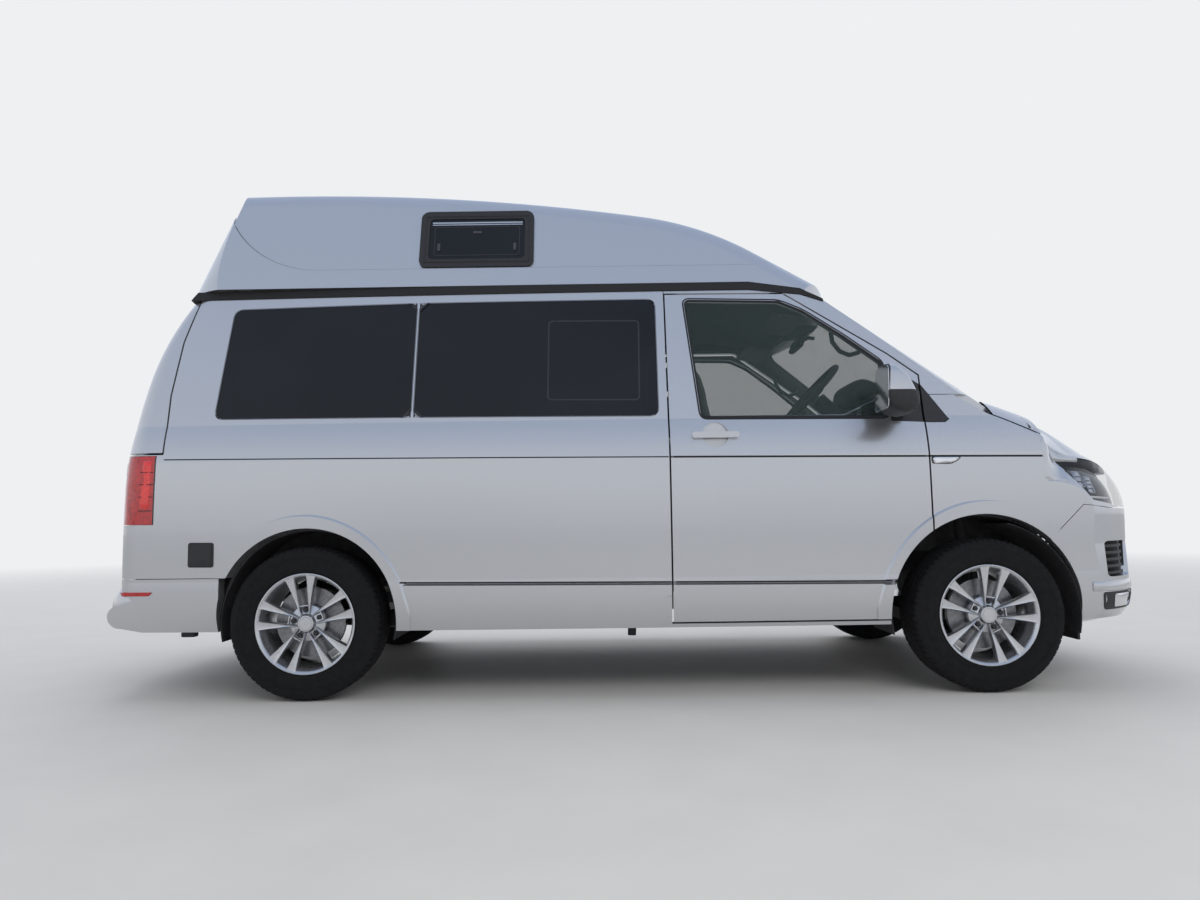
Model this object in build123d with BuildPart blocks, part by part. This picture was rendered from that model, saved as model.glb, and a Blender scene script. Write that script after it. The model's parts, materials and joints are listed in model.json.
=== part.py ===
from build123d import *
import os
from copy import deepcopy
from math import asin, cos, degrees, radians, sin, sqrt, tan

os.makedirs("parts", exist_ok=True)

# Frame: X forwards, Y to the left, Z up, origin on the ground below the middle of the length.
# All sizes are millimetres.

# Driving dimensions of the whole van
WHEELBASE = 3000
FRONT_OVERHANG = 908
REAR_OVERHANG = 996
LENGTH = WHEELBASE + FRONT_OVERHANG + REAR_OVERHANG
NOSE_X = LENGTH / 2
TAIL_X = -LENGTH / 2
FRONT_AXLE_X = NOSE_X - FRONT_OVERHANG
REAR_AXLE_X = TAIL_X + REAR_OVERHANG
HALF_TRACK = 814
MAX_HALF_WIDTH = 952

# Thickness of the walls, doors and glass, and the gaps round what opens
WALL = 60
BONNET_WALL = 40
GLASS_IN = 4
GLASS_THICK = 6
SHUT_GAP = 7.5
FIXED_GAP = 3
GLASS_GAP = 1.5

# Body sides: a section of arcs turned through a few degrees about a far upright axis
BARREL_RADIUS = 45000
FAR_Y = BARREL_RADIUS - MAX_HALF_WIDTH
HALF_TURN = 3.6
FAR_AXIS = Axis((0, FAR_Y, 0), (0, 0, 1))
FAR_PLANE = Plane(
    origin=(0, FAR_Y, 0),
    x_dir=(-sin(radians(HALF_TURN)), -cos(radians(HALF_TURN)), 0),
    z_dir=(-cos(radians(HALF_TURN)), sin(radians(HALF_TURN)), 0),
)
SECTION_BOTTOM = 250
SECTION_TOP = 1885
# each row is an arc's start, middle and end, as half width and height
SIDE_ARCS = (
    ((898, SECTION_BOTTOM), (936, 370), (947, 520)),
    ((947, 520), (952, 750), (945, 1050)),
    ((945, 1050), (928, 1135), (900, 1220)),
    ((900, 1220), (836, 1500), (742, SECTION_TOP)),
)

# Windscreen: a bowed plan outline pushed back along a slope
WINDSCREEN_SLOPE = radians(35)
WINDSCREEN_X = 2039
WINDSCREEN_X_HEIGHT = 1100
WINDSCREEN_BOW = (2300, 620, 470)
# Side profile of the cab down to inside the bonnet, with the roof deck on top
DECK_LINE = ((-2700, 1838), (-333, 1843), (560, 1846), (800, 1820), (905, 1783), (930, 1850), (1300, 1850))
COWL_LINE = ((1750, 1400), (1750, 1200), (1500, 1130), (1250, 1060), (1250, 200), (-2700, 200))

# Bonnet: a crowned section turned about a far cross axis
BONNET_RADIUS = 2500
BONNET_CENTRE = (884.7, -1021.3)
BONNET_BOW = (4700, 680, 350)
BONNET_SHOULDER_END = radians(62)
BONNET_TURN = 50

# Nose and tail: side profiles turned about upright axes along a bowed plan outline
NOSE_BOW = (1800, 560, 560)
NOSE_LINE = ((2150, 256), (2285, 272), (2416, 310))
NOSE_ARC = ((2416, 310), (2444, 360), (2452, 444))
NOSE_FACE = ((2452, 444), (2446, 640), (2450, 770))
NOSE_ROLL = ((2450, 770), (2418, 918), (2290, 1054))
NOSE_RISE = radians(40)
TAIL_RADIUS = 3600
TAIL_HALF_TURN = 22
TAIL_CORNER_R = 110
TAIL_LIP = ((-2280, 296), (-2400, 318))
TAIL_ARCS = (
    ((-2400, 318), (-2445, 340), (-2452, 385)),
    ((-2452, 385), (-2444, 450), (-2411, 500)),
    ((-2411, 760), (-2397, 1103), (-2348, 1410)),
    ((-2348, 1410), (-2258, 1680), (-2135, SECTION_TOP)),
)

# Wheel arches
ARCH_CENTRE_Z = 352
FRONT_ARCH_R = 425
REAR_ARCH_R = 400
ARCHES = ((FRONT_AXLE_X - 8, FRONT_ARCH_R), (REAR_AXLE_X + 4, REAR_ARCH_R))
FLARE_PROUD = 7

# Horizontal seams and grooves on the sides
SILL_BOTTOM = 300
BELT_GROOVE = (1047, 11, 9)
RUB_GROOVE = (496, 16, 10)
GROOVE_TILT = 0.5


def bow_points(apex, centre_r, break_y, corner_r, end_angle=radians(90)):
    """Points of half a bow: where the wide arc ends, the corner arc's middle and its end."""
    turn = asin(break_y / centre_r)
    centre = apex - centre_r
    corner = (centre + (centre_r - corner_r) * cos(turn), (centre_r - corner_r) * sin(turn))
    half = (turn + end_angle) / 2
    start = (centre + centre_r * cos(turn), centre_r * sin(turn))
    middle = (corner[0] + corner_r * cos(half), corner[1] + corner_r * sin(half))
    end = (corner[0] + corner_r * cos(end_angle), corner[1] + corner_r * sin(end_angle))
    return start, middle, end, corner, turn


def bow_outline(apex, bow, rear_x, flip=1):
    """Plan outline bowed at the end that points along flip, square at the other end."""
    start, middle, end, corner, turn = bow_points(apex, *bow)
    with BuildSketch() as outline:
        with BuildLine():
            ThreePointArc((flip * start[0], -start[1]), (flip * apex, 0), (flip * start[0], start[1]))
            for side in (1, -1):
                ThreePointArc(*[(flip * x, side * y) for x, y in (start, middle, end)])
                Line((flip * end[0], side * end[1]), (flip * rear_x, side * end[1]))
            Line((flip * rear_x, end[1]), (flip * rear_x, -end[1]))
        make_face()
    return outline.sketch


def side_volume(inset):
    """All that lies between the two barrelled sides."""
    with BuildPart() as sides:
        with BuildSketch(FAR_PLANE):
            with BuildLine():
                rows = [[(FAR_Y + w - inset, z) for w, z in arc] for arc in SIDE_ARCS]
                for row in rows:
                    ThreePointArc(*row)
                inner = FAR_Y - MAX_HALF_WIDTH - 150
                Polyline(rows[-1][2], (inner, SECTION_TOP), (inner, SECTION_BOTTOM), rows[0][0])
            make_face()
        revolve(axis=FAR_AXIS, revolution_arc=2 * HALF_TURN)
        mirror(about=Plane.XZ, mode=Mode.INTERSECT)
    return sides.part


def cab_volume(inset, deck_raise):
    """All that lies behind the windscreen and below the roof deck."""
    rise = SECTION_TOP - SECTION_BOTTOM + 20
    foot_x = WINDSCREEN_X + (WINDSCREEN_X_HEIGHT - SECTION_BOTTOM) / tan(WINDSCREEN_SLOPE)
    apex = foot_x - inset / sin(WINDSCREEN_SLOPE)
    with BuildPart() as cab:
        with BuildSketch(Plane.XY.offset(SECTION_BOTTOM)):
            add(bow_outline(apex, WINDSCREEN_BOW, -2700))
        extrude(amount=rise / sin(WINDSCREEN_SLOPE), dir=(-cos(WINDSCREEN_SLOPE), 0, sin(WINDSCREEN_SLOPE)))
        with BuildSketch(Plane.XZ):
            with BuildLine():
                deck = [(x, z + deck_raise) for x, z in DECK_LINE]
                Polyline(*deck, *COWL_LINE, close=True)
            make_face()
        extrude(amount=MAX_HALF_WIDTH + 50, both=True, mode=Mode.INTERSECT)
    return cab.part


def bonnet_volume(inset):
    """All that lies under the bonnet's and the wings' top surface."""
    axis_x, axis_z = BONNET_CENTRE
    apex = axis_z + BONNET_RADIUS - inset
    start, middle, end, corner, turn = bow_points(apex, *BONNET_BOW, BONNET_SHOULDER_END)
    skirt_y = MAX_HALF_WIDTH + 150
    skirt = (end[0] - (skirt_y - end[1]) * tan(BONNET_SHOULDER_END), skirt_y)
    with BuildPart() as bonnet:
        with BuildSketch(Plane.YZ.offset(axis_x)):
            with BuildLine():
                ThreePointArc((-start[1], start[0]), (0, apex), (start[1], start[0]))
                for side in (1, -1):
                    ThreePointArc(*[(side * y, z) for z, y in (start, middle, end)])
                    Polyline(*[(side * y, z) for z, y in (end, skirt, (axis_z + 900, skirt_y))])
                Line((skirt_y, axis_z + 900), (-skirt_y, axis_z + 900))
            make_face()
        revolve(axis=Axis((axis_x, 0, axis_z), (0, 1, 0)), revolution_arc=BONNET_TURN)
    return bonnet.part


def nose_profile(inset, axis_x):
    """Side profile of the nose, measured from an upright axis at axis_x."""

    def seen(point):
        return (point[0] - inset - axis_x, point[1] - inset / 2 if point[1] > NOSE_LINE[2][1] else point[1])

    roll_end = seen(NOSE_ROLL[2])
    with BuildSketch() as profile:
        with BuildLine():
            foot = seen(NOSE_LINE[0])
            Polyline((0, SECTION_BOTTOM), (foot[0], SECTION_BOTTOM), *map(seen, NOSE_LINE))
            ThreePointArc(*map(seen, NOSE_ARC))
            Polyline(*map(seen, NOSE_FACE))
            ThreePointArc(*map(seen, NOSE_ROLL))
            Polyline(roll_end, (0, roll_end[1] + roll_end[0] * tan(NOSE_RISE)), (0, SECTION_BOTTOM))
        make_face()
    return profile.sketch


def upright_plane(x, y, angle):
    """Upright plane through (x, y) that runs outwards at the angle, with Z as its second axis."""
    return Plane(origin=(x, y, 0), x_dir=(cos(angle), sin(angle), 0), z_dir=(sin(angle), -cos(angle), 0))


def nose_volume(inset):
    """All that lies behind the nose, from the cowl forwards."""
    start, middle, end, corner, turn = bow_points(NOSE_X, *NOSE_BOW)
    centre_x = NOSE_X - NOSE_BOW[0]
    quarter = radians(90)
    corner_x = NOSE_X - NOSE_BOW[2]
    sectors = (
        (centre_x, 0, centre_x, -turn, 2 * turn),
        (*corner, corner_x, turn, quarter - turn),
        (corner[0], -corner[1], corner_x, -quarter, quarter - turn),
    )
    with BuildPart() as nose:
        for x, y, profile_x, first, sweep_angle in sectors:
            with BuildSketch(upright_plane(x, y, first)):
                add(nose_profile(inset, profile_x))
            revolve(axis=Axis((x, y, 0), (0, 0, 1)), revolution_arc=degrees(sweep_angle))
        with BuildSketch(Plane.XY.offset(SECTION_BOTTOM)):
            with Locations((corner[0], 0)):
                Rectangle(900, 2 * (end[1] - inset), align=(Align.MAX, Align.CENTER))
        extrude(amount=1250)
    return nose.part


def tail_volume(inset):
    """All that lies ahead of the tail."""
    centre_x = TAIL_X + TAIL_RADIUS
    with BuildPart() as tail:
        with BuildSketch(upright_plane(centre_x, 0, radians(180 - TAIL_HALF_TURN))):
            with BuildLine():
                arcs = [[(centre_x - x - inset, z) for x, z in arc] for arc in TAIL_ARCS]
                lip = [(centre_x - x - inset, z) for x, z in TAIL_LIP]
                Polyline((500, SECTION_BOTTOM), (lip[0][0], SECTION_BOTTOM), *lip)
                for arc in arcs:
                    ThreePointArc(*arc)
                Line(arcs[1][2], arcs[2][0])
                Polyline(arcs[-1][2], (500, SECTION_TOP), (500, SECTION_BOTTOM))
            make_face()
        revolve(axis=Axis((centre_x, 0, 0), (0, 0, 1)), revolution_arc=2 * TAIL_HALF_TURN)
        with BuildSketch(Plane.XY.offset(SECTION_BOTTOM)):
            with Locations((REAR_AXLE_X, 0)):
                Rectangle(LENGTH, 2 * MAX_HALF_WIDTH + 20, align=(Align.MIN, Align.CENTER))
        extrude(amount=SECTION_TOP - SECTION_BOTTOM)
    return tail.part


def body_volume(inset, deck_raise=0, bonnet_inset=None):
    """The whole outer form, drawn in on every side by the inset."""
    with BuildPart() as body:
        add(bonnet_volume(inset if bonnet_inset is None else bonnet_inset))
        add(nose_volume(inset), mode=Mode.INTERSECT)
        add(cab_volume(inset, deck_raise))
        add(side_volume(inset), mode=Mode.INTERSECT)
        add(tail_volume(inset), mode=Mode.INTERSECT)
    return body.part


def fresh(part):
    """Separate copy of a shared volume, so that cutting with it leaves the original as it was."""
    return deepcopy(part)


def anticlockwise(points):
    """The same outline, in the order that makes its face look along the plane's normal."""
    pairs = zip(points, [*points[1:], points[0]])
    area = sum(a[0] * b[1] - b[0] * a[1] for a, b in pairs)
    return points if area > 0 else points[::-1]


def between(points, y_low, y_high, corner=0.0, grow=0.0):
    """Side outline, as X and Z, made solid between two values of Y."""
    with BuildPart() as slab:
        with BuildSketch(Plane.XZ.offset(-y_high)) as outline:
            Polygon(*anticlockwise(points), align=None)
            if corner:
                fillet(outline.vertices(), corner)
            if grow:
                offset(amount=grow, kind=Kind.INTERSECTION, mode=Mode.REPLACE)
        extrude(amount=y_high - y_low)
    return slab.part


def side_slab(points, side, corner=0.0, grow=0.0, inner=200):
    """Side outline made solid on one side of the van only: side is 1 on the left and -1 on the right."""
    reach = MAX_HALF_WIDTH + 100
    low, high = (inner, reach) if side == 1 else (-reach, -inner)
    return between(points, low, high, corner, grow)


def ahead(points, x_low, x_high, corner=0.0, grow=0.0):
    """Front outline, as Y and Z, made solid between two values of X."""
    with BuildPart() as slab:
        with BuildSketch(Plane.YZ.offset(x_low)) as outline:
            Polygon(*anticlockwise(points), align=None)
            if corner:
                fillet(outline.vertices(), corner)
            if grow:
                offset(amount=grow, kind=Kind.INTERSECTION, mode=Mode.REPLACE)
        extrude(amount=x_high - x_low)
    return slab.part


def block(x_low, x_high, y_low, y_high, z_low, z_high):
    """Plain block between its low and high sides."""
    with BuildPart() as solid:
        with Locations((x_low, y_low, z_low)):
            Box(x_high - x_low, y_high - y_low, z_high - z_low, align=Align.MIN)
    return solid.part


def arch_cut(x, radius):
    """Round opening of the wheel arches through both sides."""
    with BuildPart() as cut:
        with BuildSketch(Plane.XZ.offset(-MAX_HALF_WIDTH - 60)):
            with Locations((x, ARCH_CENTRE_Z)):
                Circle(radius)
        extrude(amount=2 * MAX_HALF_WIDTH + 120)
    return cut.part


def groove(centre, height, depth):
    """V groove along the right side, cut in by the depth."""
    turn = Rot(0, GROOVE_TILT, 0)
    z, half = centre, height / 2
    with BuildPart() as ring:
        with BuildSketch(FAR_PLANE):
            edge = FAR_Y + MAX_HALF_WIDTH - 8
            with BuildLine():
                Polyline((edge - depth, z), (edge + 30, z + half * 3), (edge + 30, z - half * 3), close=True)
            make_face()
        revolve(axis=FAR_AXIS, revolution_arc=2 * HALF_TURN)
    return ring.part.moved(turn)


OUTER = body_volume(0)
TAIL_CORNERS = [
    edge
    for edge in OUTER.edges()
    if edge.center().X < -1900 and edge.center().Z > SILL_BOTTOM and abs(edge.tangent_at(0.5).Z) > 0.8
]
OUTER = OUTER.fillet(TAIL_CORNER_R, TAIL_CORNERS)
FLANGE = body_volume(20, 60, 14)
INNER = body_volume(WALL, 60, BONNET_WALL)

# Outlines seen from the side, as X and Z
DOOR_REAR_X = 160
DOOR_FRONT_X = 1302
DOOR_BOTTOM = 324
DOOR_OUTLINE = (
    (DOOR_REAR_X, DOOR_BOTTOM), (DOOR_FRONT_X, DOOR_BOTTOM), (DOOR_FRONT_X, 1412), (1172, 1515), (715, 1822),
    (DOOR_REAR_X, 1824),
)
DOOR_GLASS = ((246, 1799), (303, 1222), (1148, 1216), (1148, 1478), (983, 1610), (804, 1738), (695, 1788))
SAIL_OUTLINE = ((1156, 1198), (1156, 1468), (1310, 1366), (1418, 1204), (1398, 1190), (1330, 1190))
REAR_WINDOW = ((-1873, 1786), (-1903, 1250), (-1004, 1244), (-1004, 1800))
MID_WINDOW = ((-992, 1800), (-992, 1244), (112, 1235), (112, 1802))
WINDOW_CORNER = 40
TAILGATE_SEAM = ((-2054, 1860), (-2054, 1828), (-2103, 1627), (-2125, 1367), (-2117, 1097))
TAILGATE_TOP = 1830
TAILGATE_BOTTOM = 548
LAMP_TOP = 1095
TAILGATE_HALF_WIDTH = 745
REAR_BUMPER_TOP = 535
BONNET_HALF_WIDTH = 800
BONNET_FRONT_Z = 962

with BuildPart() as skin:
    add(OUTER)
    add(fresh(INNER), mode=Mode.SUBTRACT)
    for arch_x, arch_r in ARCHES:
        add(arch_cut(arch_x, arch_r), mode=Mode.SUBTRACT)

with BuildPart() as grooves:
    for height, tall, deep in (BELT_GROOVE, RUB_GROOVE):
        add(groove(height, tall, deep))
    mirror(about=Plane.XZ)


def flare(x, radius, side):
    """Soft lip round one wheel arch, a little proud of the side."""
    outer_y = MAX_HALF_WIDTH + FLARE_PROUD
    with BuildPart() as lip:
        with BuildSketch(upright_plane(0, 0, side * radians(90))):
            Polygon((outer_y - 100, 0), (outer_y, 0), (outer_y, radius + 22), (outer_y - 30, radius + 60),
                    (outer_y - 100, radius + 60), align=None)
        revolve(axis=Axis((0, 0, 0), (0, 1, 0)))
        with Locations((0, 0, 0)):
            Cylinder(radius, 3 * outer_y, rotation=(90, 0, 0), mode=Mode.SUBTRACT)
    moved = lip.part.moved(Location((x, 0, ARCH_CENTRE_Z)))
    with BuildPart() as fitted:
        add(moved)
        add(side_volume(-FLARE_PROUD), mode=Mode.INTERSECT)
        add(fresh(INNER), mode=Mode.SUBTRACT)
    return fitted.part


PANE_ZONE = body_volume(GLASS_IN, 60) - body_volume(GLASS_IN + GLASS_THICK, 80)


def panes(outlines, side):
    """Side panes set a little way in from the outer surface."""
    with BuildPart() as glass:
        for outline in outlines:
            add(side_slab(outline, side, WINDOW_CORNER, -GLASS_GAP))
        add(fresh(PANE_ZONE), mode=Mode.INTERSECT)
    return glass.part


def side_panel(side, zone, openings):
    """Piece of the shell on one side, with its grooves, flares and window openings."""
    with BuildPart() as panel:
        add(fresh(skin.part))
        add(zone, mode=Mode.INTERSECT)
        add(fresh(grooves.part), mode=Mode.SUBTRACT)
        for outline in openings:
            add(side_slab(outline, side, WINDOW_CORNER), mode=Mode.SUBTRACT)
    return panel.part


def write(part, name):
    """Label a finished piece and write its file."""
    part.label = name
    export_step(part, "parts/" + name + ".step")


# Side panels: the right one is whole, the left one stops at the sliding door
rail_z = DOOR_BOTTOM - SHUT_GAP
pillar_x = DOOR_REAR_X - SHUT_GAP
SEAM_CLEAR = [(x + SHUT_GAP, z) for x, z in TAILGATE_SEAM]
PANEL_OUTLINE = (
    (1150, SILL_BOTTOM), (1150, rail_z), (pillar_x, rail_z), (pillar_x, 1860),
    *SEAM_CLEAR, (-2111, LAMP_TOP - SHUT_GAP), (-2111, REAR_BUMPER_TOP + FIXED_GAP),
    (-1452, REAR_BUMPER_TOP + FIXED_GAP), (-1452, SILL_BOTTOM),
)
CORNER_OUTLINE = (
    (-2105, REAR_BUMPER_TOP + FIXED_GAP), (-2500, REAR_BUMPER_TOP + FIXED_GAP),
    (-2500, LAMP_TOP - SHUT_GAP), (-2105, LAMP_TOP - SHUT_GAP),
)
TAIL_LAMP_OUTLINE = ((-2140, 775), (-2140, 1084), (-2500, 1084), (-2500, 775))
SLIDING_OUTLINE = ((-990, 330), (112, 330), (112, 1824), (-990, 1824))
LEFT_MID_WINDOW = ((-974, 1798), (-974, 1244), (96, 1235), (96, 1800))


def panel_zone(side):
    with BuildPart() as zone:
        add(side_slab(PANEL_OUTLINE, side))
        add(side_slab(CORNER_OUTLINE, side, inner=TAILGATE_HALF_WIDTH + SHUT_GAP))
        lamp = side_slab(TAIL_LAMP_OUTLINE, side, inner=TAILGATE_HALF_WIDTH + SHUT_GAP + 6)
        add(lamp, mode=Mode.SUBTRACT)
    return zone.part


with BuildPart() as side_panel_right:
    add(side_panel(-1, panel_zone(-1), (REAR_WINDOW, MID_WINDOW)))
    add(flare(ARCHES[1][0], REAR_ARCH_R, -1) & side_slab(PANEL_OUTLINE, -1))
write(side_panel_right.part, "side_panel_right")

with BuildPart() as side_panel_left:
    add(side_panel(1, panel_zone(1), (REAR_WINDOW,)))
    add(side_slab(SLIDING_OUTLINE, 1, grow=FIXED_GAP), mode=Mode.SUBTRACT)
    add(flare(ARCHES[1][0], REAR_ARCH_R, 1) & side_slab(PANEL_OUTLINE, 1))
write(side_panel_left.part, "side_panel_left")

with BuildPart() as sliding_door:
    add(side_panel(1, side_slab(SLIDING_OUTLINE, 1), (LEFT_MID_WINDOW,)))
write(sliding_door.part, "sliding_door")

with BuildPart() as side_glass:
    add(panes((REAR_WINDOW, MID_WINDOW), -1))
    add(panes((REAR_WINDOW, LEFT_MID_WINDOW), 1))
write(side_glass.part, "side_glass")

# Cab doors: an outer flange and a deeper body set in from its edge
DOOR_STEP = 12
HANDLE_AT = (361, 1142)
HANDLE_LENGTH = 209
HANDLE_TALL = 27
HANDLE_RECESS_R = 58
# how far out the recess starts, and the bar's inner and outer faces
HANDLE_Y = (900, 916, 944)
for side, hand in ((-1, "right"), (1, "left")):
    with BuildPart() as door:
        add(fresh(skin.part))
        add(side_slab(DOOR_OUTLINE, side), mode=Mode.INTERSECT)
        add(fresh(FLANGE) - side_slab(DOOR_OUTLINE, side, grow=-DOOR_STEP), mode=Mode.SUBTRACT)
        add(flare(ARCHES[0][0], FRONT_ARCH_R, side) & side_slab(DOOR_OUTLINE, side))
        add(fresh(grooves.part), mode=Mode.SUBTRACT)
        add(side_slab(DOOR_GLASS, side, 25), mode=Mode.SUBTRACT)
        add(side_slab(SAIL_OUTLINE, side), mode=Mode.SUBTRACT)
        low, high = sorted((side * HANDLE_Y[0], side * 1000))
        with BuildSketch(Plane.XZ.offset(-high)):
            with Locations(HANDLE_AT):
                Circle(HANDLE_RECESS_R)
        extrude(amount=high - low, mode=Mode.SUBTRACT)
        low, high = sorted((side * HANDLE_Y[1], side * HANDLE_Y[2]))
        with BuildSketch(Plane.XZ.offset(-high)):
            with Locations(HANDLE_AT):
                SlotOverall(HANDLE_LENGTH, HANDLE_TALL)
        extrude(amount=high - low)
    write(door.part, "door_" + hand)
    with BuildPart() as door_glass:
        add(side_slab(DOOR_GLASS, side, 25, -GLASS_GAP))
        add(fresh(PANE_ZONE), mode=Mode.INTERSECT)
    write(door_glass.part, "door_glass_" + hand)

# Windscreen and the frame round it, with the scuttle below and the roof strip above the doors
SCREEN_OUTLINE = ((-778, 1352), (778, 1352), (672, 1800), (-672, 1800))
SCREEN_CORNER = 60
SCREEN_X = (700, 1800)
FRAME_OUTLINE = ((pillar_x + FIXED_GAP, 1829), (pillar_x + FIXED_GAP, 1900), (1700, 1900), (1700, 1322), (1296, 1322))
BONNET_SEAM = (
    (1440, 1338), (1467, 1320), (1596, 1238), (1686, 1200), (1820, 1138), (1953, 1052), (2005, BONNET_FRONT_Z),
    (2500, BONNET_FRONT_Z), (2500, 1400), (1440, 1400),
)
SCUTTLE = (1450, 1750, -BONNET_HALF_WIDTH, BONNET_HALF_WIDTH, 1200, 1400)
LAMP_SIDE = ((1880, 1033), (1921, 975), (2034, 836), (2244, 800), (2500, 792), (2500, 1100), (1880, 1100))
LAMP_FRONT = ((478, 805), (478, 905), (560, 962), (700, 1012), (870, 1040), (1000, 1045), (1000, 790), (700, 797))
BUMPER_OUTLINE = (
    (1500, 200), (1500, 352), (1820, 648), (1860, 691), (1986, 812), (2120, 797), (2600, 789), (2600, 200),
)


def lamp_zone(side, grow=0.0):
    """Space that one headlamp takes in the nose."""
    reach = MAX_HALF_WIDTH + 50
    front = [(side * y, z) for y, z in LAMP_FRONT]
    low, high = (0, reach) if side == 1 else (-reach, 0)
    return ahead(front, 1700, 2500, 0, grow) & between(LAMP_SIDE, low, high, 0, grow)


def bonnet_zone(grow=0.0):
    """Space above the bonnet's side seams and ahead of the windscreen's foot."""
    return between(BONNET_SEAM, -1000, 1000, 0, grow) - cab_volume(grow - SHUT_GAP, 60)


with BuildPart() as bonnet:
    add(fresh(skin.part))
    add(bonnet_zone(), mode=Mode.INTERSECT)
    for side in (1, -1):
        add(lamp_zone(side, SHUT_GAP), mode=Mode.SUBTRACT)
write(bonnet.part, "bonnet")

with BuildPart() as frame_zone:
    add(between(FRAME_OUTLINE, -1000, 1000))
    add(block(*SCUTTLE))
    add(cab_volume(0, 60), mode=Mode.INTERSECT)

with BuildPart() as cab_frame:
    add(fresh(skin.part))
    add(frame_zone.part, mode=Mode.INTERSECT)
    for side in (1, -1):
        add(side_slab(DOOR_OUTLINE, side, grow=SHUT_GAP), mode=Mode.SUBTRACT)
        add(side_slab(SAIL_OUTLINE, side, grow=1), mode=Mode.SUBTRACT)
    add(ahead(SCREEN_OUTLINE, *SCREEN_X, SCREEN_CORNER), mode=Mode.SUBTRACT)
write(cab_frame.part, "cab_frame")

with BuildPart() as windscreen:
    add(ahead(SCREEN_OUTLINE, *SCREEN_X, SCREEN_CORNER, -GLASS_GAP))
    add(fresh(PANE_ZONE), mode=Mode.INTERSECT)
write(windscreen.part, "windscreen")

# Front wings, with the flares
WING_OUTLINE = (
    (DOOR_FRONT_X + SHUT_GAP, 500), (DOOR_FRONT_X + SHUT_GAP, 1319), (2300, 1319), (2300, 500),
)
BELT_GROOVE_ZONE = (1000, 1900, -1000, 1000, 900, 1200)


def wing(side):
    """One front wing, between the cab door, the bonnet, the lamp and the bumper."""
    zone = side_slab(WING_OUTLINE, side, inner=BONNET_HALF_WIDTH + SHUT_GAP)
    bumper_space = side_slab(BUMPER_OUTLINE, side, grow=FIXED_GAP, inner=-10)
    with BuildPart() as panel:
        add(fresh(skin.part))
        add(zone, mode=Mode.INTERSECT)
        add(between(BONNET_SEAM, -1000, 1000, 0, SHUT_GAP), mode=Mode.SUBTRACT)
        add(bumper_space, mode=Mode.SUBTRACT)
        add(lamp_zone(side, FIXED_GAP), mode=Mode.SUBTRACT)
        add((flare(ARCHES[0][0], FRONT_ARCH_R, side) & zone) - bumper_space)
        add(fresh(grooves.part) & block(*BELT_GROOVE_ZONE), mode=Mode.SUBTRACT)
        add(side_slab(SAIL_OUTLINE, side, grow=1), mode=Mode.SUBTRACT)
    return panel.part


def skin_within(zone):
    """What one space holds of the shell."""
    with BuildPart() as piece:
        add(fresh(skin.part))
        add(zone, mode=Mode.INTERSECT)
    return piece.part


with BuildPart() as front_wings:
    for side in (1, -1):
        add(wing(side))
write(front_wings.part, "front_wings")

# Headlamps behind wrap-round lenses
with BuildPart() as headlamps:
    for side in (1, -1):
        add(skin_within(lamp_zone(side)))

# Grille opening, lower intake, side vents and fog lamps in the nose
GRILLE_Z = (797, 955)
GRILLE_HALF_WIDTH = 470
INTAKE = ((-600, 655), (600, 655), (560, 480), (-560, 480))
VENT = ((640, 650), (880, 650), (880, 492), (690, 492))
INTAKE_CORNER = 25
VENT_CORNER = 15
FOG_LAMP = (745, 388, 42)
SLAT_TALL = 13
SLAT_PITCH = 30

with BuildPart() as front_bumper:
    add(fresh(skin.part))
    add(between(BUMPER_OUTLINE, -1000, 1000), mode=Mode.INTERSECT)
    add(ahead(INTAKE, 2000, 2500, INTAKE_CORNER), mode=Mode.SUBTRACT)
    for side in (1, -1):
        add(ahead([(side * y, z) for y, z in VENT], 2000, 2500, VENT_CORNER), mode=Mode.SUBTRACT)
        with Locations((2200, side * FOG_LAMP[0], FOG_LAMP[1])):
            Cylinder(FOG_LAMP[2], 600, rotation=(0, 90, 0), mode=Mode.SUBTRACT)
write(front_bumper.part, "front_bumper")

with BuildPart() as recessed_zone:
    add(fresh(FLANGE))
    add(fresh(INNER), mode=Mode.SUBTRACT)
# the three kinds of grille: lowest slat, rows, the uprights' places
UPPER_BARS = (GRILLE_Z[0] + 12, 5, (-GRILLE_HALF_WIDTH + 12, -140, 140, GRILLE_HALF_WIDTH - 12))
LOWER_BARS = (486, 6, (-440, 0, 440))
VENT_BARS = (500, 5, (750,))
UPRIGHT_WIDE = 20


def grille_bars(outline, corner, lowest, rows, uprights):
    """Slats and uprights that fill one outline in the nose, 2 mm inside its edge."""
    with BuildPart() as bars:
        for row in range(rows):
            z = lowest + row * SLAT_PITCH
            add(block(1900, 2500, -1000, 1000, z, z + SLAT_TALL))
        for y in uprights:
            add(block(1900, 2500, y - UPRIGHT_WIDE / 2, y + UPRIGHT_WIDE / 2, lowest - 20, lowest + 200))
        add(ahead(outline, 2000, 2500, corner, -2), mode=Mode.INTERSECT)
    return bars.part


UPPER_OUTLINE = (
    (-GRILLE_HALF_WIDTH, GRILLE_Z[0]), (GRILLE_HALF_WIDTH, GRILLE_Z[0]),
    (GRILLE_HALF_WIDTH, GRILLE_Z[1]), (-GRILLE_HALF_WIDTH, GRILLE_Z[1]),
)
with BuildPart() as grilles:
    add(grille_bars(UPPER_OUTLINE, 2, *UPPER_BARS))
    add(grille_bars(INTAKE, INTAKE_CORNER, *LOWER_BARS))
    for side in (1, -1):
        outline = [(side * y, z) for y, z in VENT]
        add(grille_bars(outline, VENT_CORNER, *VENT_BARS[:2], [side * y for y in VENT_BARS[2]]))
    add(fresh(recessed_zone.part), mode=Mode.INTERSECT)
write(grilles.part, "grilles")

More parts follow.
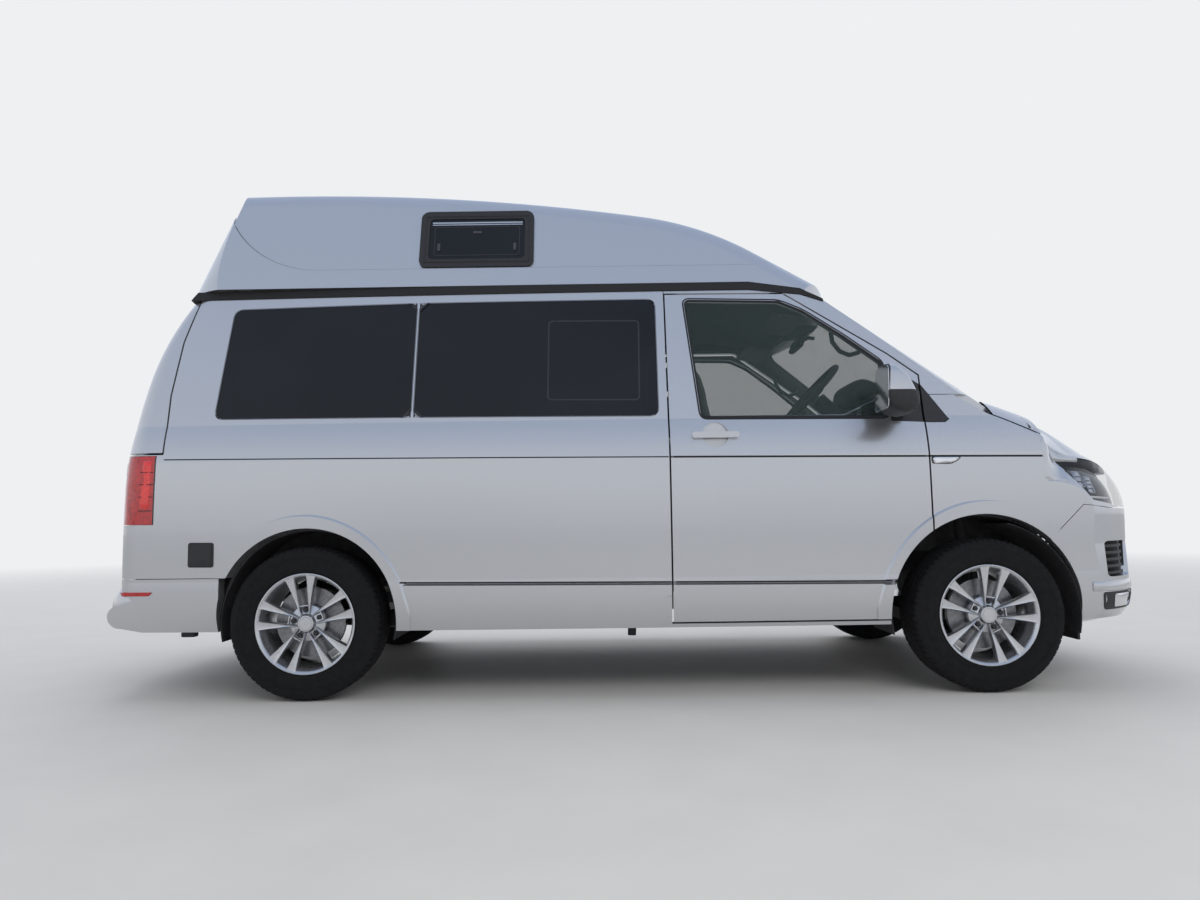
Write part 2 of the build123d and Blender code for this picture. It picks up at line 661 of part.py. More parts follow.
with BuildPart() as fog_lamps:
    for side in (1, -1):
        with Locations((2200, side * FOG_LAMP[0], FOG_LAMP[1])):
            Cylinder(FOG_LAMP[2] - 2, 600, rotation=(0, 90, 0))
    add(fresh(recessed_zone.part), mode=Mode.INTERSECT)
    add(headlamps.part)
write(fog_lamps.part, "front_lamps")

# Tail lamps, rear bumper and tailgate
with BuildPart() as tail_lamps:
    for side in (1, -1):
        inner = TAILGATE_HALF_WIDTH + SHUT_GAP + 8
        add(skin_within(side_slab(TAIL_LAMP_OUTLINE, side, grow=-1.5, inner=inner)))
write(tail_lamps.part, "tail_lamps")

REAR_BUMPER_ZONE = (-2600, -1840, -1000, 1000, SILL_BOTTOM, REAR_BUMPER_TOP)
with BuildPart() as rear_bumper:
    add(fresh(skin.part))
    add(block(*REAR_BUMPER_ZONE), mode=Mode.INTERSECT)
write(rear_bumper.part, "rear_bumper")

REAR_GLASS = ((-640, 1190), (640, 1190), (575, 1745), (-575, 1745))
REAR_GLASS_X = (-2500, -1900)


def tailgate_zone(grow=0.0):
    upper = (*TAILGATE_SEAM[1:], (-2600, TAILGATE_SEAM[-1][1]), (-2600, TAILGATE_TOP), (-2054, TAILGATE_TOP))
    half = TAILGATE_HALF_WIDTH
    lower = ((-half, TAILGATE_BOTTOM), (half, TAILGATE_BOTTOM), (half, LAMP_TOP + 40), (-half, LAMP_TOP + 40))
    return between(upper, -1000, 1000, 0, grow) + ahead(lower, -2600, -2150, 0, grow)


with BuildPart() as tailgate:
    add(fresh(skin.part))
    add(tailgate_zone(), mode=Mode.INTERSECT)
    add(ahead(REAR_GLASS, *REAR_GLASS_X, 50), mode=Mode.SUBTRACT)
write(tailgate.part, "tailgate")

with BuildPart() as tailgate_glass:
    add(ahead(REAR_GLASS, *REAR_GLASS_X, 50, -GLASS_GAP))
    add(fresh(PANE_ZONE), mode=Mode.INTERSECT)
write(tailgate_glass.part, "tailgate_glass")

# High top: a crowned roof swept along a line of two arcs and a straight, between leaning sides
TOP_CROWN_Z = 2451
TOP_CROWN_X = -1650
TOP_REAR_R = 10750
TOP_FRONT_R = 1510
TOP_BREAK_X = 82
TOP_FRONT_FALL = radians(31.5)
TOP_CROWN_R = 4200
TOP_LEAN = radians(15.2)
TOP_FOOT_HALF_WIDTH = 734
TOP_FOOT_Z = 1884
TOP_SHOULDER_R = 110
TOP_WALL = 30
TOP_NOSE_BOW = (2400, 560, 330)
TOP_NOSE_X = 1010
TOP_TAIL_BOW = (3000, 470, 350)
TOP_TAIL_X = 2290
TOP_TAIL_Z = 1700
TOP_TAIL_LEAN = radians(24.8)
SEAL_LINE = ((-2700, 1880), (-333, 1886), (560, 1887), (800, 1850), (905, 1797), (1100, 1690))
SEAL_FRONT_X = 905
STEP_Z = 1981
STEP_RADIUS = 498
STEP_X = -1493
STEP_PROUD = 7


def top_volume(inset, side_inset):
    """Outer form of the high top, drawn in by the insets of its roof and of its sides."""
    turn_break = asin((TOP_BREAK_X - TOP_CROWN_X) / TOP_REAR_R)
    turn_back = -radians(4)
    rear_r = TOP_REAR_R - inset
    front_r = TOP_FRONT_R - inset
    centre = (TOP_CROWN_X, TOP_CROWN_Z - TOP_REAR_R)
    knee = (centre[0] + (TOP_REAR_R - TOP_FRONT_R) * sin(turn_break),
            centre[1] + (TOP_REAR_R - TOP_FRONT_R) * cos(turn_break))

    def on(hub, radius, turn):
        return (hub[0] + radius * sin(turn), 0, hub[1] + radius * cos(turn))

    with BuildPart() as top:
        with BuildLine() as spine:
            ThreePointArc(on(centre, rear_r, turn_back), on(centre, rear_r, 0), on(centre, rear_r, turn_break))
            middle = (turn_break + TOP_FRONT_FALL) / 2
            last = on(knee, front_r, TOP_FRONT_FALL)
            ThreePointArc(on(centre, rear_r, turn_break), on(knee, front_r, middle), last)
            Line(last, (last[0] + 700 * cos(TOP_FRONT_FALL), 0, last[2] - 700 * sin(TOP_FRONT_FALL)))
        start = on(centre, rear_r, turn_back)
        along = (cos(turn_back), 0, -sin(turn_back))
        with BuildSketch(Plane(origin=start, x_dir=(0, 1, 0), z_dir=along)):
            with BuildLine():
                drop = TOP_CROWN_R - sqrt(TOP_CROWN_R ** 2 - 850 ** 2)
                ThreePointArc((-850, -drop), (0, 0), (850, -drop))
                Polyline((850, -drop), (850, -900), (-850, -900), (-850, -drop))
            make_face()
        sweep(path=spine.wire())
        foot = TOP_FOOT_HALF_WIDTH - side_inset / cos(TOP_LEAN)
        low, high = 1500, 2600
        low_y = foot + (TOP_FOOT_Z - low) * tan(TOP_LEAN)
        high_y = foot - (high - TOP_FOOT_Z) * tan(TOP_LEAN)
        with BuildSketch(Plane.YZ.offset(-3000)):
            Polygon((low_y, low), (high_y, high), (-high_y, high), (-low_y, low), align=None)
        extrude(amount=5000, mode=Mode.INTERSECT)
        shoulders = [
            edge
            for edge in top.edges()
            if 500 < abs(edge.center().Y) < 760 and edge.length > 300 and edge.center().Z > 1850
            and abs(edge.center().Y) < foot - (edge.center().Z - TOP_FOOT_Z) * tan(TOP_LEAN) + 3
            and abs(edge.tangent_at(0.5).X) > 0.7
        ]
        fillet(shoulders, TOP_SHOULDER_R - inset)
        with BuildSketch(Plane.XY.offset(1500)):
            add(bow_outline(TOP_NOSE_X - side_inset, TOP_NOSE_BOW, -2700))
        extrude(amount=1200, mode=Mode.INTERSECT)
        with BuildSketch(Plane.XY.offset(TOP_TAIL_Z)):
            add(bow_outline(TOP_TAIL_X - side_inset / cos(TOP_TAIL_LEAN), TOP_TAIL_BOW, -1500, flip=-1))
        extrude(amount=1000, dir=(sin(TOP_TAIL_LEAN), 0, cos(TOP_TAIL_LEAN)), mode=Mode.INTERSECT)
    return top.part


def above(line, top_z):
    """All above a side line of X and Z, out to both sides."""
    return between((*line, (line[-1][0], top_z), (line[0][0], top_z)), -1000, 1000)


ROOF_WINDOW = (549, 313, 40)
ROOF_WINDOW_AT = (-734.5, 2133)
ROOF_WINDOW_BORDER = 44


def roof_window_plane(side):
    """Plane of one roof window, on the leaning side of the high top."""
    x, z = ROOF_WINDOW_AT
    y = TOP_FOOT_HALF_WIDTH - (z - TOP_FOOT_Z) * tan(TOP_LEAN)
    return Plane(origin=(x, side * y, z), x_dir=(-side, 0, 0), z_dir=(0, side * cos(TOP_LEAN), sin(TOP_LEAN)))


with BuildPart() as step_band:
    add(top_volume(STEP_PROUD, -STEP_PROUD))
    with BuildSketch(Plane.XZ.offset(-1000)):
        with BuildLine():
            Line((1500, STEP_Z), (STEP_X, STEP_Z))
            RadiusArc((STEP_X, STEP_Z), (STEP_X - STEP_RADIUS, STEP_Z + STEP_RADIUS), STEP_RADIUS)
            Polyline((STEP_X - STEP_RADIUS, STEP_Z + STEP_RADIUS), (-2600, STEP_Z + STEP_RADIUS),
                     (-2600, 1700), (1500, 1700), (1500, STEP_Z))
        make_face()
    extrude(amount=2000, mode=Mode.INTERSECT)

with BuildPart() as high_top:
    add(top_volume(0, 0))
    add(step_band.part)
    add(top_volume(TOP_WALL, TOP_WALL), mode=Mode.SUBTRACT)
    add(above([(x, z + 1) for x, z in SEAL_LINE], 2600), mode=Mode.INTERSECT)
    add(cab_volume(-3, 200) & block(SEAL_FRONT_X, 1300, -1000, 1000, 1500, 2100), mode=Mode.SUBTRACT)
    for side in (1, -1):
        with BuildSketch(roof_window_plane(side)):
            RectangleRounded(ROOF_WINDOW[0] - 16, ROOF_WINDOW[1] - 16, ROOF_WINDOW[2] - 8)
        extrude(amount=80, both=True, mode=Mode.SUBTRACT)
write(high_top.part, "high_top")

with BuildPart() as roof_window_frames:
    for side in (1, -1):
        with BuildSketch(roof_window_plane(side).offset(1)):
            RectangleRounded(*ROOF_WINDOW)
            RectangleRounded(ROOF_WINDOW[0] - 2 * ROOF_WINDOW_BORDER, ROOF_WINDOW[1] - 2 * ROOF_WINDOW_BORDER,
                             20, mode=Mode.SUBTRACT)
        extrude(amount=12)
        with BuildSketch(roof_window_plane(side).offset(1)):
            RectangleRounded(ROOF_WINDOW[0] - 20, ROOF_WINDOW[1] - 20, ROOF_WINDOW[2] - 10)
            RectangleRounded(ROOF_WINDOW[0] - 2 * ROOF_WINDOW_BORDER, ROOF_WINDOW[1] - 2 * ROOF_WINDOW_BORDER,
                             20, mode=Mode.SUBTRACT)
        extrude(amount=-34)
write(roof_window_frames.part, "roof_window_frames")

with BuildPart() as roof_window_panes:
    for side in (1, -1):
        with BuildSketch(roof_window_plane(side).offset(4)):
            RectangleRounded(ROOF_WINDOW[0] - 2 * ROOF_WINDOW_BORDER - 2,
                             ROOF_WINDOW[1] - 2 * ROOF_WINDOW_BORDER - 2, 19)
        extrude(amount=5)
write(roof_window_panes.part, "roof_window_panes")

with BuildPart() as roof_seal:
    add(body_volume(-5, 100, 0))
    add(above([(x, z + 1) for x, z in DECK_LINE], 2000), mode=Mode.INTERSECT)
    add(above(SEAL_LINE, 2100), mode=Mode.SUBTRACT)
    add(block(SEAL_FRONT_X, 1400, -1000, 1000, 1500, 2100), mode=Mode.SUBTRACT)
    add(fresh(INNER), mode=Mode.SUBTRACT)
write(roof_seal.part, "roof_seal")

# Mirrors: a flush sail in the corner of the door window, with an arm and a rounded head
MIRROR_X = (1075, 1225)
MIRROR_Z = (1195, 1432)
MIRROR_Y = (945, 1148)
MIRROR_ARM_X = (1161, 1216)
MIRROR_ARM_Y = (860, 980)
MIRROR_ARM_Z = (1225, 1268)
for side, hand in ((-1, "right"), (1, "left")):
    with BuildPart() as mirror_head:
        with BuildSketch(Plane.XZ.offset(-side * MIRROR_Y[0])):
            with Locations(((MIRROR_X[0] + MIRROR_X[1]) / 2, sum(MIRROR_Z) / 2)):
                RectangleRounded(MIRROR_X[1] - MIRROR_X[0], MIRROR_Z[1] - MIRROR_Z[0], 45)
        extrude(amount=-side * (MIRROR_Y[1] - MIRROR_Y[0]), taper=4)
        low, high = sorted((side * MIRROR_ARM_Y[0], side * MIRROR_ARM_Y[1]))
        add(block(*MIRROR_ARM_X, low, high, *MIRROR_ARM_Z))
        add(side_slab(SAIL_OUTLINE, side, grow=-1) & (OUTER - FLANGE) & block(1100, 1299, -1000, 1000, 1150, 1500))
    write(mirror_head.part, "mirror_" + hand)

with BuildPart() as sail_caps:
    for side in (1, -1):
        add(side_slab(SAIL_OUTLINE, side, grow=-1) & (OUTER - FLANGE) & block(1309, 1450, -1000, 1000, 1150, 1500))
write(sail_caps.part, "sail_caps")

# Floor with toe board and bulkhead
FLOOR_Z = 566
FLOOR_THICK = 30
FLOOR_REAR_X = -2285
BULKHEAD_X = 1430
BULKHEAD_TOP = 1190
BULKHEAD_THICK = 25
FLOOR_PROFILE = (
    (FLOOR_REAR_X, FLOOR_Z - FLOOR_THICK), (1080, FLOOR_Z - FLOOR_THICK), (BULKHEAD_X, 800),
    (BULKHEAD_X, BULKHEAD_TOP), (BULKHEAD_X - BULKHEAD_THICK, BULKHEAD_TOP), (BULKHEAD_X - BULKHEAD_THICK, 815),
    (1070, FLOOR_Z), (FLOOR_REAR_X, FLOOR_Z),
)
FLOOR_HALF_WIDTH = 900
TUB_WALL = 12
TUB_Y = 600
FRONT_TUB_Y = 520
WHEELHOUSES = ((*ARCHES[0], FRONT_TUB_Y), (*ARCHES[1], TUB_Y - TUB_WALL))


def wheel_disc(x, radius, side, inner_y, outer_y):
    """Disc about a wheel arch's centre, between two distances out from the middle."""
    low, high = sorted((side * inner_y, side * outer_y))
    with BuildPart() as disc:
        with BuildSketch(Plane.XZ.offset(-high)):
            with Locations((x, ARCH_CENTRE_Z)):
                Circle(radius)
        extrude(amount=high - low)
    return disc.part


def wheel_shell(x, radius, thick, side, inner_y, outer_y, foot_z):
    """Upper part of a round shell over one wheel, above foot_z."""
    low, high = sorted((side * inner_y, side * outer_y))
    with BuildPart() as shell:
        add(wheel_disc(x, radius, side, inner_y, outer_y))
        add(wheel_disc(x, radius - thick, side, inner_y, outer_y), mode=Mode.SUBTRACT)
        add(block(x - radius, x + radius, low, high, 0, foot_z), mode=Mode.SUBTRACT)
    return shell.part


with BuildPart() as floor_pan:
    add(between(FLOOR_PROFILE, -FLOOR_HALF_WIDTH, FLOOR_HALF_WIDTH))
    for x, radius, inner_y in WHEELHOUSES:
        for side in (1, -1):
            add(wheel_disc(x, radius, side, inner_y, FLOOR_HALF_WIDTH), mode=Mode.SUBTRACT)
    add(body_volume(WALL + 2, 60, BONNET_WALL + 4), mode=Mode.INTERSECT)
write(floor_pan.part, "floor_pan")

# Rails below the floor, with cross members and the tow bar's holes
RAIL_Y = (410, 470)
RAIL_PROFILE = (
    (-2280, 440), (-1850, 380), (-1250, 500), (-1000, 420), (1000, 420), (1250, 500), (2280, 500),
    (2280, 600), (1200, 600), (1080, 536), (-2280, 536),
)
TOW_BEAM_X = -2260
TOW_BOLT_Z = 493
# spacing across and up, and the holes' radius
TOW_BOLTS = (300, 50, 6.5)
CROSS_MEMBER_WIDE = 60
CROSS_MEMBER_BOTTOM = 450
CROSS_MEMBERS_X = (TOW_BEAM_X, -900, -100, 900)
CRASH_BEAM = (2240, 2280, -560, 560, 490, 610)
with BuildPart() as chassis_rails:
    for side in (1, -1):
        add(between(RAIL_PROFILE, *sorted((side * RAIL_Y[0], side * RAIL_Y[1]))))
    for x in CROSS_MEMBERS_X:
        add(block(x, x + CROSS_MEMBER_WIDE, -RAIL_Y[1], RAIL_Y[1], CROSS_MEMBER_BOTTOM, FLOOR_Z - FLOOR_THICK))
    add(block(*CRASH_BEAM))
    add(body_volume(WALL + 2, 60, BONNET_WALL + 4), mode=Mode.INTERSECT)
    with Locations(Location((TOW_BEAM_X + CROSS_MEMBER_WIDE / 2, 0, TOW_BOLT_Z), (0, 90, 0))):
        with GridLocations(TOW_BOLTS[1], TOW_BOLTS[0], 2, 2):
            Cylinder(TOW_BOLTS[2], 2 * CROSS_MEMBER_WIDE, mode=Mode.SUBTRACT)
write(chassis_rails.part, "chassis_rails")

# Wheelhouses: front liners that are open towards the axle, and rear tubs with an inner wall
LINER_THICK = 5
LINER_Y = (FRONT_TUB_Y + 4, 868)
with BuildPart() as wheel_liners:
    for side in (1, -1):
        x, radius = ARCHES[0]
        add(wheel_shell(x, radius - 2, LINER_THICK, side, *LINER_Y, ARCH_CENTRE_Z - 30))
        x, radius = ARCHES[1]
        add(wheel_shell(x, radius, TUB_WALL, side, TUB_Y, FLOOR_HALF_WIDTH, ARCH_CENTRE_Z + 65))
        inner_wall = wheel_disc(x, radius, side, TUB_Y - TUB_WALL, TUB_Y)
        add(inner_wall - block(x - radius, x + radius, -1000, 1000, 0, FLOOR_Z - FLOOR_THICK))
    add(body_volume(WALL + 2, 60, BONNET_WALL + 4), mode=Mode.INTERSECT)
write(wheel_liners.part, "wheel_liners")

# Engine with gearbox, a plain block at its place across the nose
ENGINE = (1580, 2060, -280, 340, 340, 880)
with BuildPart() as engine:
    add(block(*ENGINE))
    fillet(engine.edges().filter_by(Axis.X), 40)
write(engine.part, "engine")

# Wheels
WHEEL_Z = 335
TYRE_PROFILE = ((212, -88), (264, -107), (314, -102), (335, -76), (335, 76), (314, 102), (264, 107), (212, 88))
RIM_PROFILE = ((211.5, -88.8), (221, -93), (214, -98), (186, -60), (186, 76), (209, 98), (221, 96), (211.5, 88.8),
               (197, 70), (197, -70))
RIM_FACE = 82
SPOKE_PAIRS = 5
DISC_R = 154
DISC_AT = 4


def placed(part, x, side):
    """Set a wheel piece, modelled with its outer side towards +Y, at one corner of the van."""
    turn = 0 if side == 1 else 180
    return part.moved(Location((x, side * HALF_TRACK, WHEEL_Z), (0, 0, turn)))


with BuildPart() as tyre:
    with BuildSketch(Plane.XY):
        Polygon(*anticlockwise(TYRE_PROFILE), align=None)
    revolve(axis=Axis.Y)

# a spoke's edges, out along its pair's middle line and across it
SPOKE = ((45, 15.5), (45, 26), (140, 48), (195, 71), (195, 24.5))
SPOKE_THICK = 30
HUB_R = 78
DISC_THICK = 24
with BuildPart() as rim:
    with BuildSketch(Plane.XY):
        Polygon(*anticlockwise(RIM_PROFILE), align=None)
    revolve(axis=Axis.Y)
    for number in range(SPOKE_PAIRS):
        for lean in (1, -1):
            turn = Location((0, 0, 0), (0, 90 + number * 360 / SPOKE_PAIRS, 0))
            outline = [(x, lean * z) for x, z in SPOKE]
            add(between(outline, RIM_FACE - SPOKE_THICK, RIM_FACE).moved(turn))
    with Locations((0, (RIM_FACE + DISC_AT) / 2, 0)):
        Cylinder(HUB_R, RIM_FACE - DISC_AT, rotation=(90, 0, 0))
    with Locations((0, DISC_AT, 0)):
        Cylinder(DISC_R, DISC_THICK, rotation=(90, 0, 0))
CORNERS = (("front_right", FRONT_AXLE_X, -1), ("front_left", FRONT_AXLE_X, 1),
           ("rear_right", REAR_AXLE_X, -1), ("rear_left", REAR_AXLE_X, 1))
for corner_name, axle_x, side in CORNERS:
    write(placed(tyre.part, axle_x, side), "tyre_" + corner_name)
    write(placed(rim.part, axle_x, side), "rim_" + corner_name)

# Front knuckles with their struts, on the leaning steering axes
STEER_FOOT_Y = 805
STEER_LEAN = 215 / 960
KNUCKLE_R = 55
KNUCKLE_Y = (735, 795)
# each row of the upright is its lower and upper height and its radius: ball joint, carrier and strut
UPRIGHT = ((232, 345, 22), (325, 440, 22), (430, 755, 25))
STEERING_ARM = (FRONT_AXLE_X - 130, FRONT_AXLE_X, 700, 760, 300, 330)


def across(side, inner_y, outer_y):
    """Low and high Y of something between two distances out from the middle, on one side."""
    return sorted((side * inner_y, side * outer_y))


def cross_bar(x, z, radius, side, inner_y, outer_y):
    """Round bar across the van, on one side."""
    low, high = across(side, inner_y, outer_y)
    with BuildPart() as bar:
        with BuildSketch(Plane.XZ.offset(-high)):
            with Locations((x, z)):
                Circle(radius)
        extrude(amount=high - low)
    return bar.part


for side, hand in ((-1, "right"), (1, "left")):
    with BuildPart() as knuckle:
        add(cross_bar(FRONT_AXLE_X, WHEEL_Z, KNUCKLE_R, side, *KNUCKLE_Y))
        stretch = sqrt(1 + STEER_LEAN ** 2)
        lean = side * degrees(asin(STEER_LEAN / stretch))
        for z_low, z_high, radius in UPRIGHT:
            foot = (FRONT_AXLE_X, side * (STEER_FOOT_Y - STEER_LEAN * z_low), z_low)
            with Locations(Location(foot, (lean, 0, 0))):
                Cylinder(radius, (z_high - z_low) * stretch, align=(Align.CENTER, Align.CENTER, Align.MIN))
        add(block(*STEERING_ARM[:2], *across(side, *STEERING_ARM[2:4]), *STEERING_ARM[4:]))
    write(knuckle.part, "knuckle_" + hand)

# Front suspension: subframe, lower arms and half shafts
SUBFRAME = (1390, 1700, -400, 400, 240, 300)
ARM_OUTLINE = (
    (1390, 380), (1700, 380), (1700, 440), (1580, 560), (1574, 775), (1514, 775), (1506, 560), (1390, 440),
)
ARM_Z = (200, 226)
HALF_SHAFT = (16, 402, 668)
SHAFT_BEARING_Y = (402, 430)
with BuildPart() as front_suspension:
    add(block(*SUBFRAME))
    for side in (1, -1):
        with BuildSketch(Plane.XY.offset(ARM_Z[0])):
            Polygon(*anticlockwise([(x, side * y) for x, y in ARM_OUTLINE]), align=None)
        extrude(amount=ARM_Z[1] - ARM_Z[0])
        add(block(*SUBFRAME[:2], *across(side, 380, 400), ARM_Z[0], SUBFRAME[5]))
        add(cross_bar(FRONT_AXLE_X, WHEEL_Z, HALF_SHAFT[0], side, *HALF_SHAFT[1:]))
        add(block(FRONT_AXLE_X - 30, FRONT_AXLE_X + 16, *across(side, *SHAFT_BEARING_Y), ARM_Z[1], WHEEL_Z))
write(front_suspension.part, "front_suspension")

# Rear axle: cross beam, trailing arms, hub carriers, springs and the mounts on the rails
AXLE_BEAM = (-1180, -1100, -640, 640, 290, 350)
TRAILING_ARM = ((-1180, 290), (-1100, 290), (-1100, 350), (-1400, 375), (-1500, 375), (-1500, 300))
TRAILING_ARM_Y = (560, 640)
HUB_CARRIER_Y = (600, 795)
# centre along and out, foot, radius and height
SPRING = (-1400, 536, 340, 48, 195)
BEAM_MOUNT = (-1170, -1110, 420, 460, 350, 414)
with BuildPart() as rear_axle:
    add(block(*AXLE_BEAM))
    for side in (1, -1):
        add(between(TRAILING_ARM, *across(side, *TRAILING_ARM_Y)))
        add(cross_bar(REAR_AXLE_X, WHEEL_Z, KNUCKLE_R, side, *HUB_CARRIER_Y))
        with Locations((SPRING[0], side * SPRING[1], SPRING[2])):
            Cylinder(SPRING[3], SPRING[4], align=(Align.CENTER, Align.CENTER, Align.MIN))
        add(block(*BEAM_MOUNT[:2], *across(side, *BEAM_MOUNT[2:4]), *BEAM_MOUNT[4:]))
write(rear_axle.part, "rear_axle")

# Exhaust with silencer and the fuel tank
EXHAUST_X = (-2330, 1500)
EXHAUST_AT = (250, 400)
EXHAUST_R = 25
SILENCER = (-2150, -1700, 100, 400, 340, 440)
FUEL_TANK = (200, 860, -390, 150, 320, 534)
with BuildPart() as exhaust:
    with BuildSketch(Plane.YZ.offset(EXHAUST_X[0])):
        with Locations(EXHAUST_AT):
            Circle(EXHAUST_R)
    extrude(amount=EXHAUST_X[1] - EXHAUST_X[0])
    add(block(*SILENCER))
write(exhaust.part, "exhaust")
with BuildPart() as fuel_tank:
    add(block(*FUEL_TANK))
    fillet(fuel_tank.edges().filter_by(Axis.Z), 50)
write(fuel_tank.part, "fuel_tank")

# Cab: dashboard, steering wheel and two seats
ROOM = body_volume(WALL + 3, 40, BONNET_WALL + 6)
DASH_PROFILE = (
    (1090, 850), (1075, 960), (1110, 1130), (1230, 1185), (1450, 1215), (1640, 1268), (1640, 1240), (1450, 1202),
    (1400, 1194), (1400, 850),
)
with BuildPart() as dashboard:
    add(between(DASH_PROFILE, -800, 800))
    add(fresh(ROOM), mode=Mode.INTERSECT)
write(dashboard.part, "dashboard")

STEERING_AT = (925, -400, 1398)
STEERING_AXIS = (-0.735, 0, 0.679)
STEERING_R = 180
RIM_SECTION = ((-14, -7), (-7, -14), (7, -14), (14, -7), (14, 7), (7, 14), (-7, 14), (-14, 7))
steering_plane = Plane(origin=STEERING_AT, x_dir=(0, -1, 0), z_dir=STEERING_AXIS)
with BuildPart() as steering_wheel:
    with BuildSketch(Plane.XZ):
        with Locations((STEERING_R, 0)):
            Polygon(*RIM_SECTION, align=None)
    revolve(axis=Axis.Z)
    for angle in (0, 180, 270):
        with Locations(Location((0, 0, -4), (0, 0, angle))):
            Box(STEERING_R, 34, 14, align=(Align.MIN, Align.CENTER, Align.CENTER))
    with Locations((0, 0, -10)):
        Cylinder(62, 44)
    Cylinder(20, 300, align=(Align.CENTER, Align.CENTER, Align.MAX))
write(steering_wheel.part.moved(steering_plane.location), "steering_wheel")

SEAT_HALF_WIDTH = 250
HEADREST_HALF_WIDTH = 130
SEAT_BASE_HALF_WIDTH = 210
SEAT_Y = 400
SEAT_PROFILE = (
    (400, 850), (880, 870), (900, 900), (880, 950), (480, 925), (330, 1520), (250, 1540), (230, 1500), (380, 870),
)
HEADREST_PROFILE = ((315, 1512), (290, 1690), (210, 1690), (235, 1512))
SEAT_BASE_X = (420, 860)
SEAT_BASE_TOP = 880
with BuildPart() as cab_seats:
    for side in (1, -1):
        y = side * SEAT_Y
        add(between(SEAT_PROFILE, y - SEAT_HALF_WIDTH, y + SEAT_HALF_WIDTH))
        add(between(HEADREST_PROFILE, y - HEADREST_HALF_WIDTH, y + HEADREST_HALF_WIDTH))
        add(block(*SEAT_BASE_X, y - SEAT_BASE_HALF_WIDTH, y + SEAT_BASE_HALF_WIDTH, FLOOR_Z, SEAT_BASE_TOP))
write(cab_seats.part, "cab_seats")

# Living space: folding bench and kitchen unit
BENCH_PROFILE = (
    (-560, 600), (-560, 930), (-600, 970), (-1060, 940), (-1230, 1480), (-1330, 1470), (-1180, 860), (-1180, 600),
)
BENCH_Y = (-420, 560)
BENCH_BASE = (-1160, -620, -400, 540, FLOOR_Z, 620)
with BuildPart() as bench_seat:
    add(between(BENCH_PROFILE, *BENCH_Y))
    add(block(*BENCH_BASE))
write(bench_seat.part, "bench_seat")

KITCHEN_X = (-1040, -60)
KITCHEN_Y = (-840, -450)
KITCHEN_TOP = 1150
WORKTOP_THICK = 30
WORKTOP_PROUD = 14
PLINTH = (60, 40)
with BuildPart() as kitchen_unit:
    add(block(*KITCHEN_X, KITCHEN_Y[0], KITCHEN_Y[1] - PLINTH[1], FLOOR_Z, FLOOR_Z + PLINTH[0]))
    add(block(*KITCHEN_X, *KITCHEN_Y, FLOOR_Z + PLINTH[0], KITCHEN_TOP - WORKTOP_THICK))
    add(block(*KITCHEN_X, KITCHEN_Y[0], KITCHEN_Y[1] + WORKTOP_PROUD, KITCHEN_TOP - WORKTOP_THICK, KITCHEN_TOP))
    add(fresh(ROOM), mode=Mode.INTERSECT)
write(kitchen_unit.part, "kitchen_unit")
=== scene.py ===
import json
from math import copysign, cos, dist, exp, hypot, pi, radians, sin, sqrt, tan
import bmesh
import bpy
from mathutils import Matrix, Vector
from mathutils.bvhtree import BVHTree


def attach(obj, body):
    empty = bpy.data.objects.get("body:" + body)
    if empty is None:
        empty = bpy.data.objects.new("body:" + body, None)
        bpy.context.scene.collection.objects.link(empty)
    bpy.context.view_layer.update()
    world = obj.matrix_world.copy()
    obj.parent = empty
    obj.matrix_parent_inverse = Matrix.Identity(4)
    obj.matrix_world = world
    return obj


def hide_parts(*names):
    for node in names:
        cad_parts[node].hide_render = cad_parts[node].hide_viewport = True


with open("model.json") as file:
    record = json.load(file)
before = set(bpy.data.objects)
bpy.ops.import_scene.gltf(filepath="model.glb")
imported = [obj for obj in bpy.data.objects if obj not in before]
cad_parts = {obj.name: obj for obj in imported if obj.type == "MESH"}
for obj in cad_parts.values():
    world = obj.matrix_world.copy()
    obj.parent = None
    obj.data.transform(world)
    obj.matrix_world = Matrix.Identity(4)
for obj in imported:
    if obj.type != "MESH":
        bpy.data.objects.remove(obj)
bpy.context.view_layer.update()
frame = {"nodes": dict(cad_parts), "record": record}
NODES = frame["nodes"]
SCENE = bpy.context.scene

# ---- camera and light
CAMERA_AT = Vector((-0.147, -4.603, 0.773))
YAW, PITCH, ROLL = radians(-0.09), radians(4.79), radians(-0.75)
FOCAL_PX, PHOTO_MID = 832, (600, 450)
ahead = Vector((sin(YAW) * cos(PITCH), cos(YAW) * cos(PITCH), sin(PITCH)))
right = Vector((cos(YAW), -sin(YAW), 0))
up = right.cross(ahead)
r_axis = cos(ROLL) * right + sin(ROLL) * up
u_axis = -sin(ROLL) * right + cos(ROLL) * up
cam_data = bpy.data.cameras.new("camera")
cam_data.lens, cam_data.sensor_width, cam_data.clip_end = 24.96, 36, 200
cam = bpy.data.objects.new("camera", cam_data)
SCENE.collection.objects.link(cam)
cam.matrix_world = Matrix.Translation(CAMERA_AT) @ Matrix((r_axis, u_axis, -ahead)).transposed().to_4x4()
SCENE.camera = cam
SCENE.view_settings.view_transform = "Standard"


def area_light(name, at, aim, size, power, colour):
    data = bpy.data.lights.new(name, "AREA")
    data.shape, data.size, data.size_y = "RECTANGLE", size[0], size[1]
    data.energy, data.color = power, colour
    lamp = bpy.data.objects.new(name, data)
    lamp.location = at
    lamp.rotation_euler = (Vector(aim) - Vector(at)).to_track_quat("-Z", "Y").to_euler()
    lamp.visible_glossy = False
    SCENE.collection.objects.link(lamp)


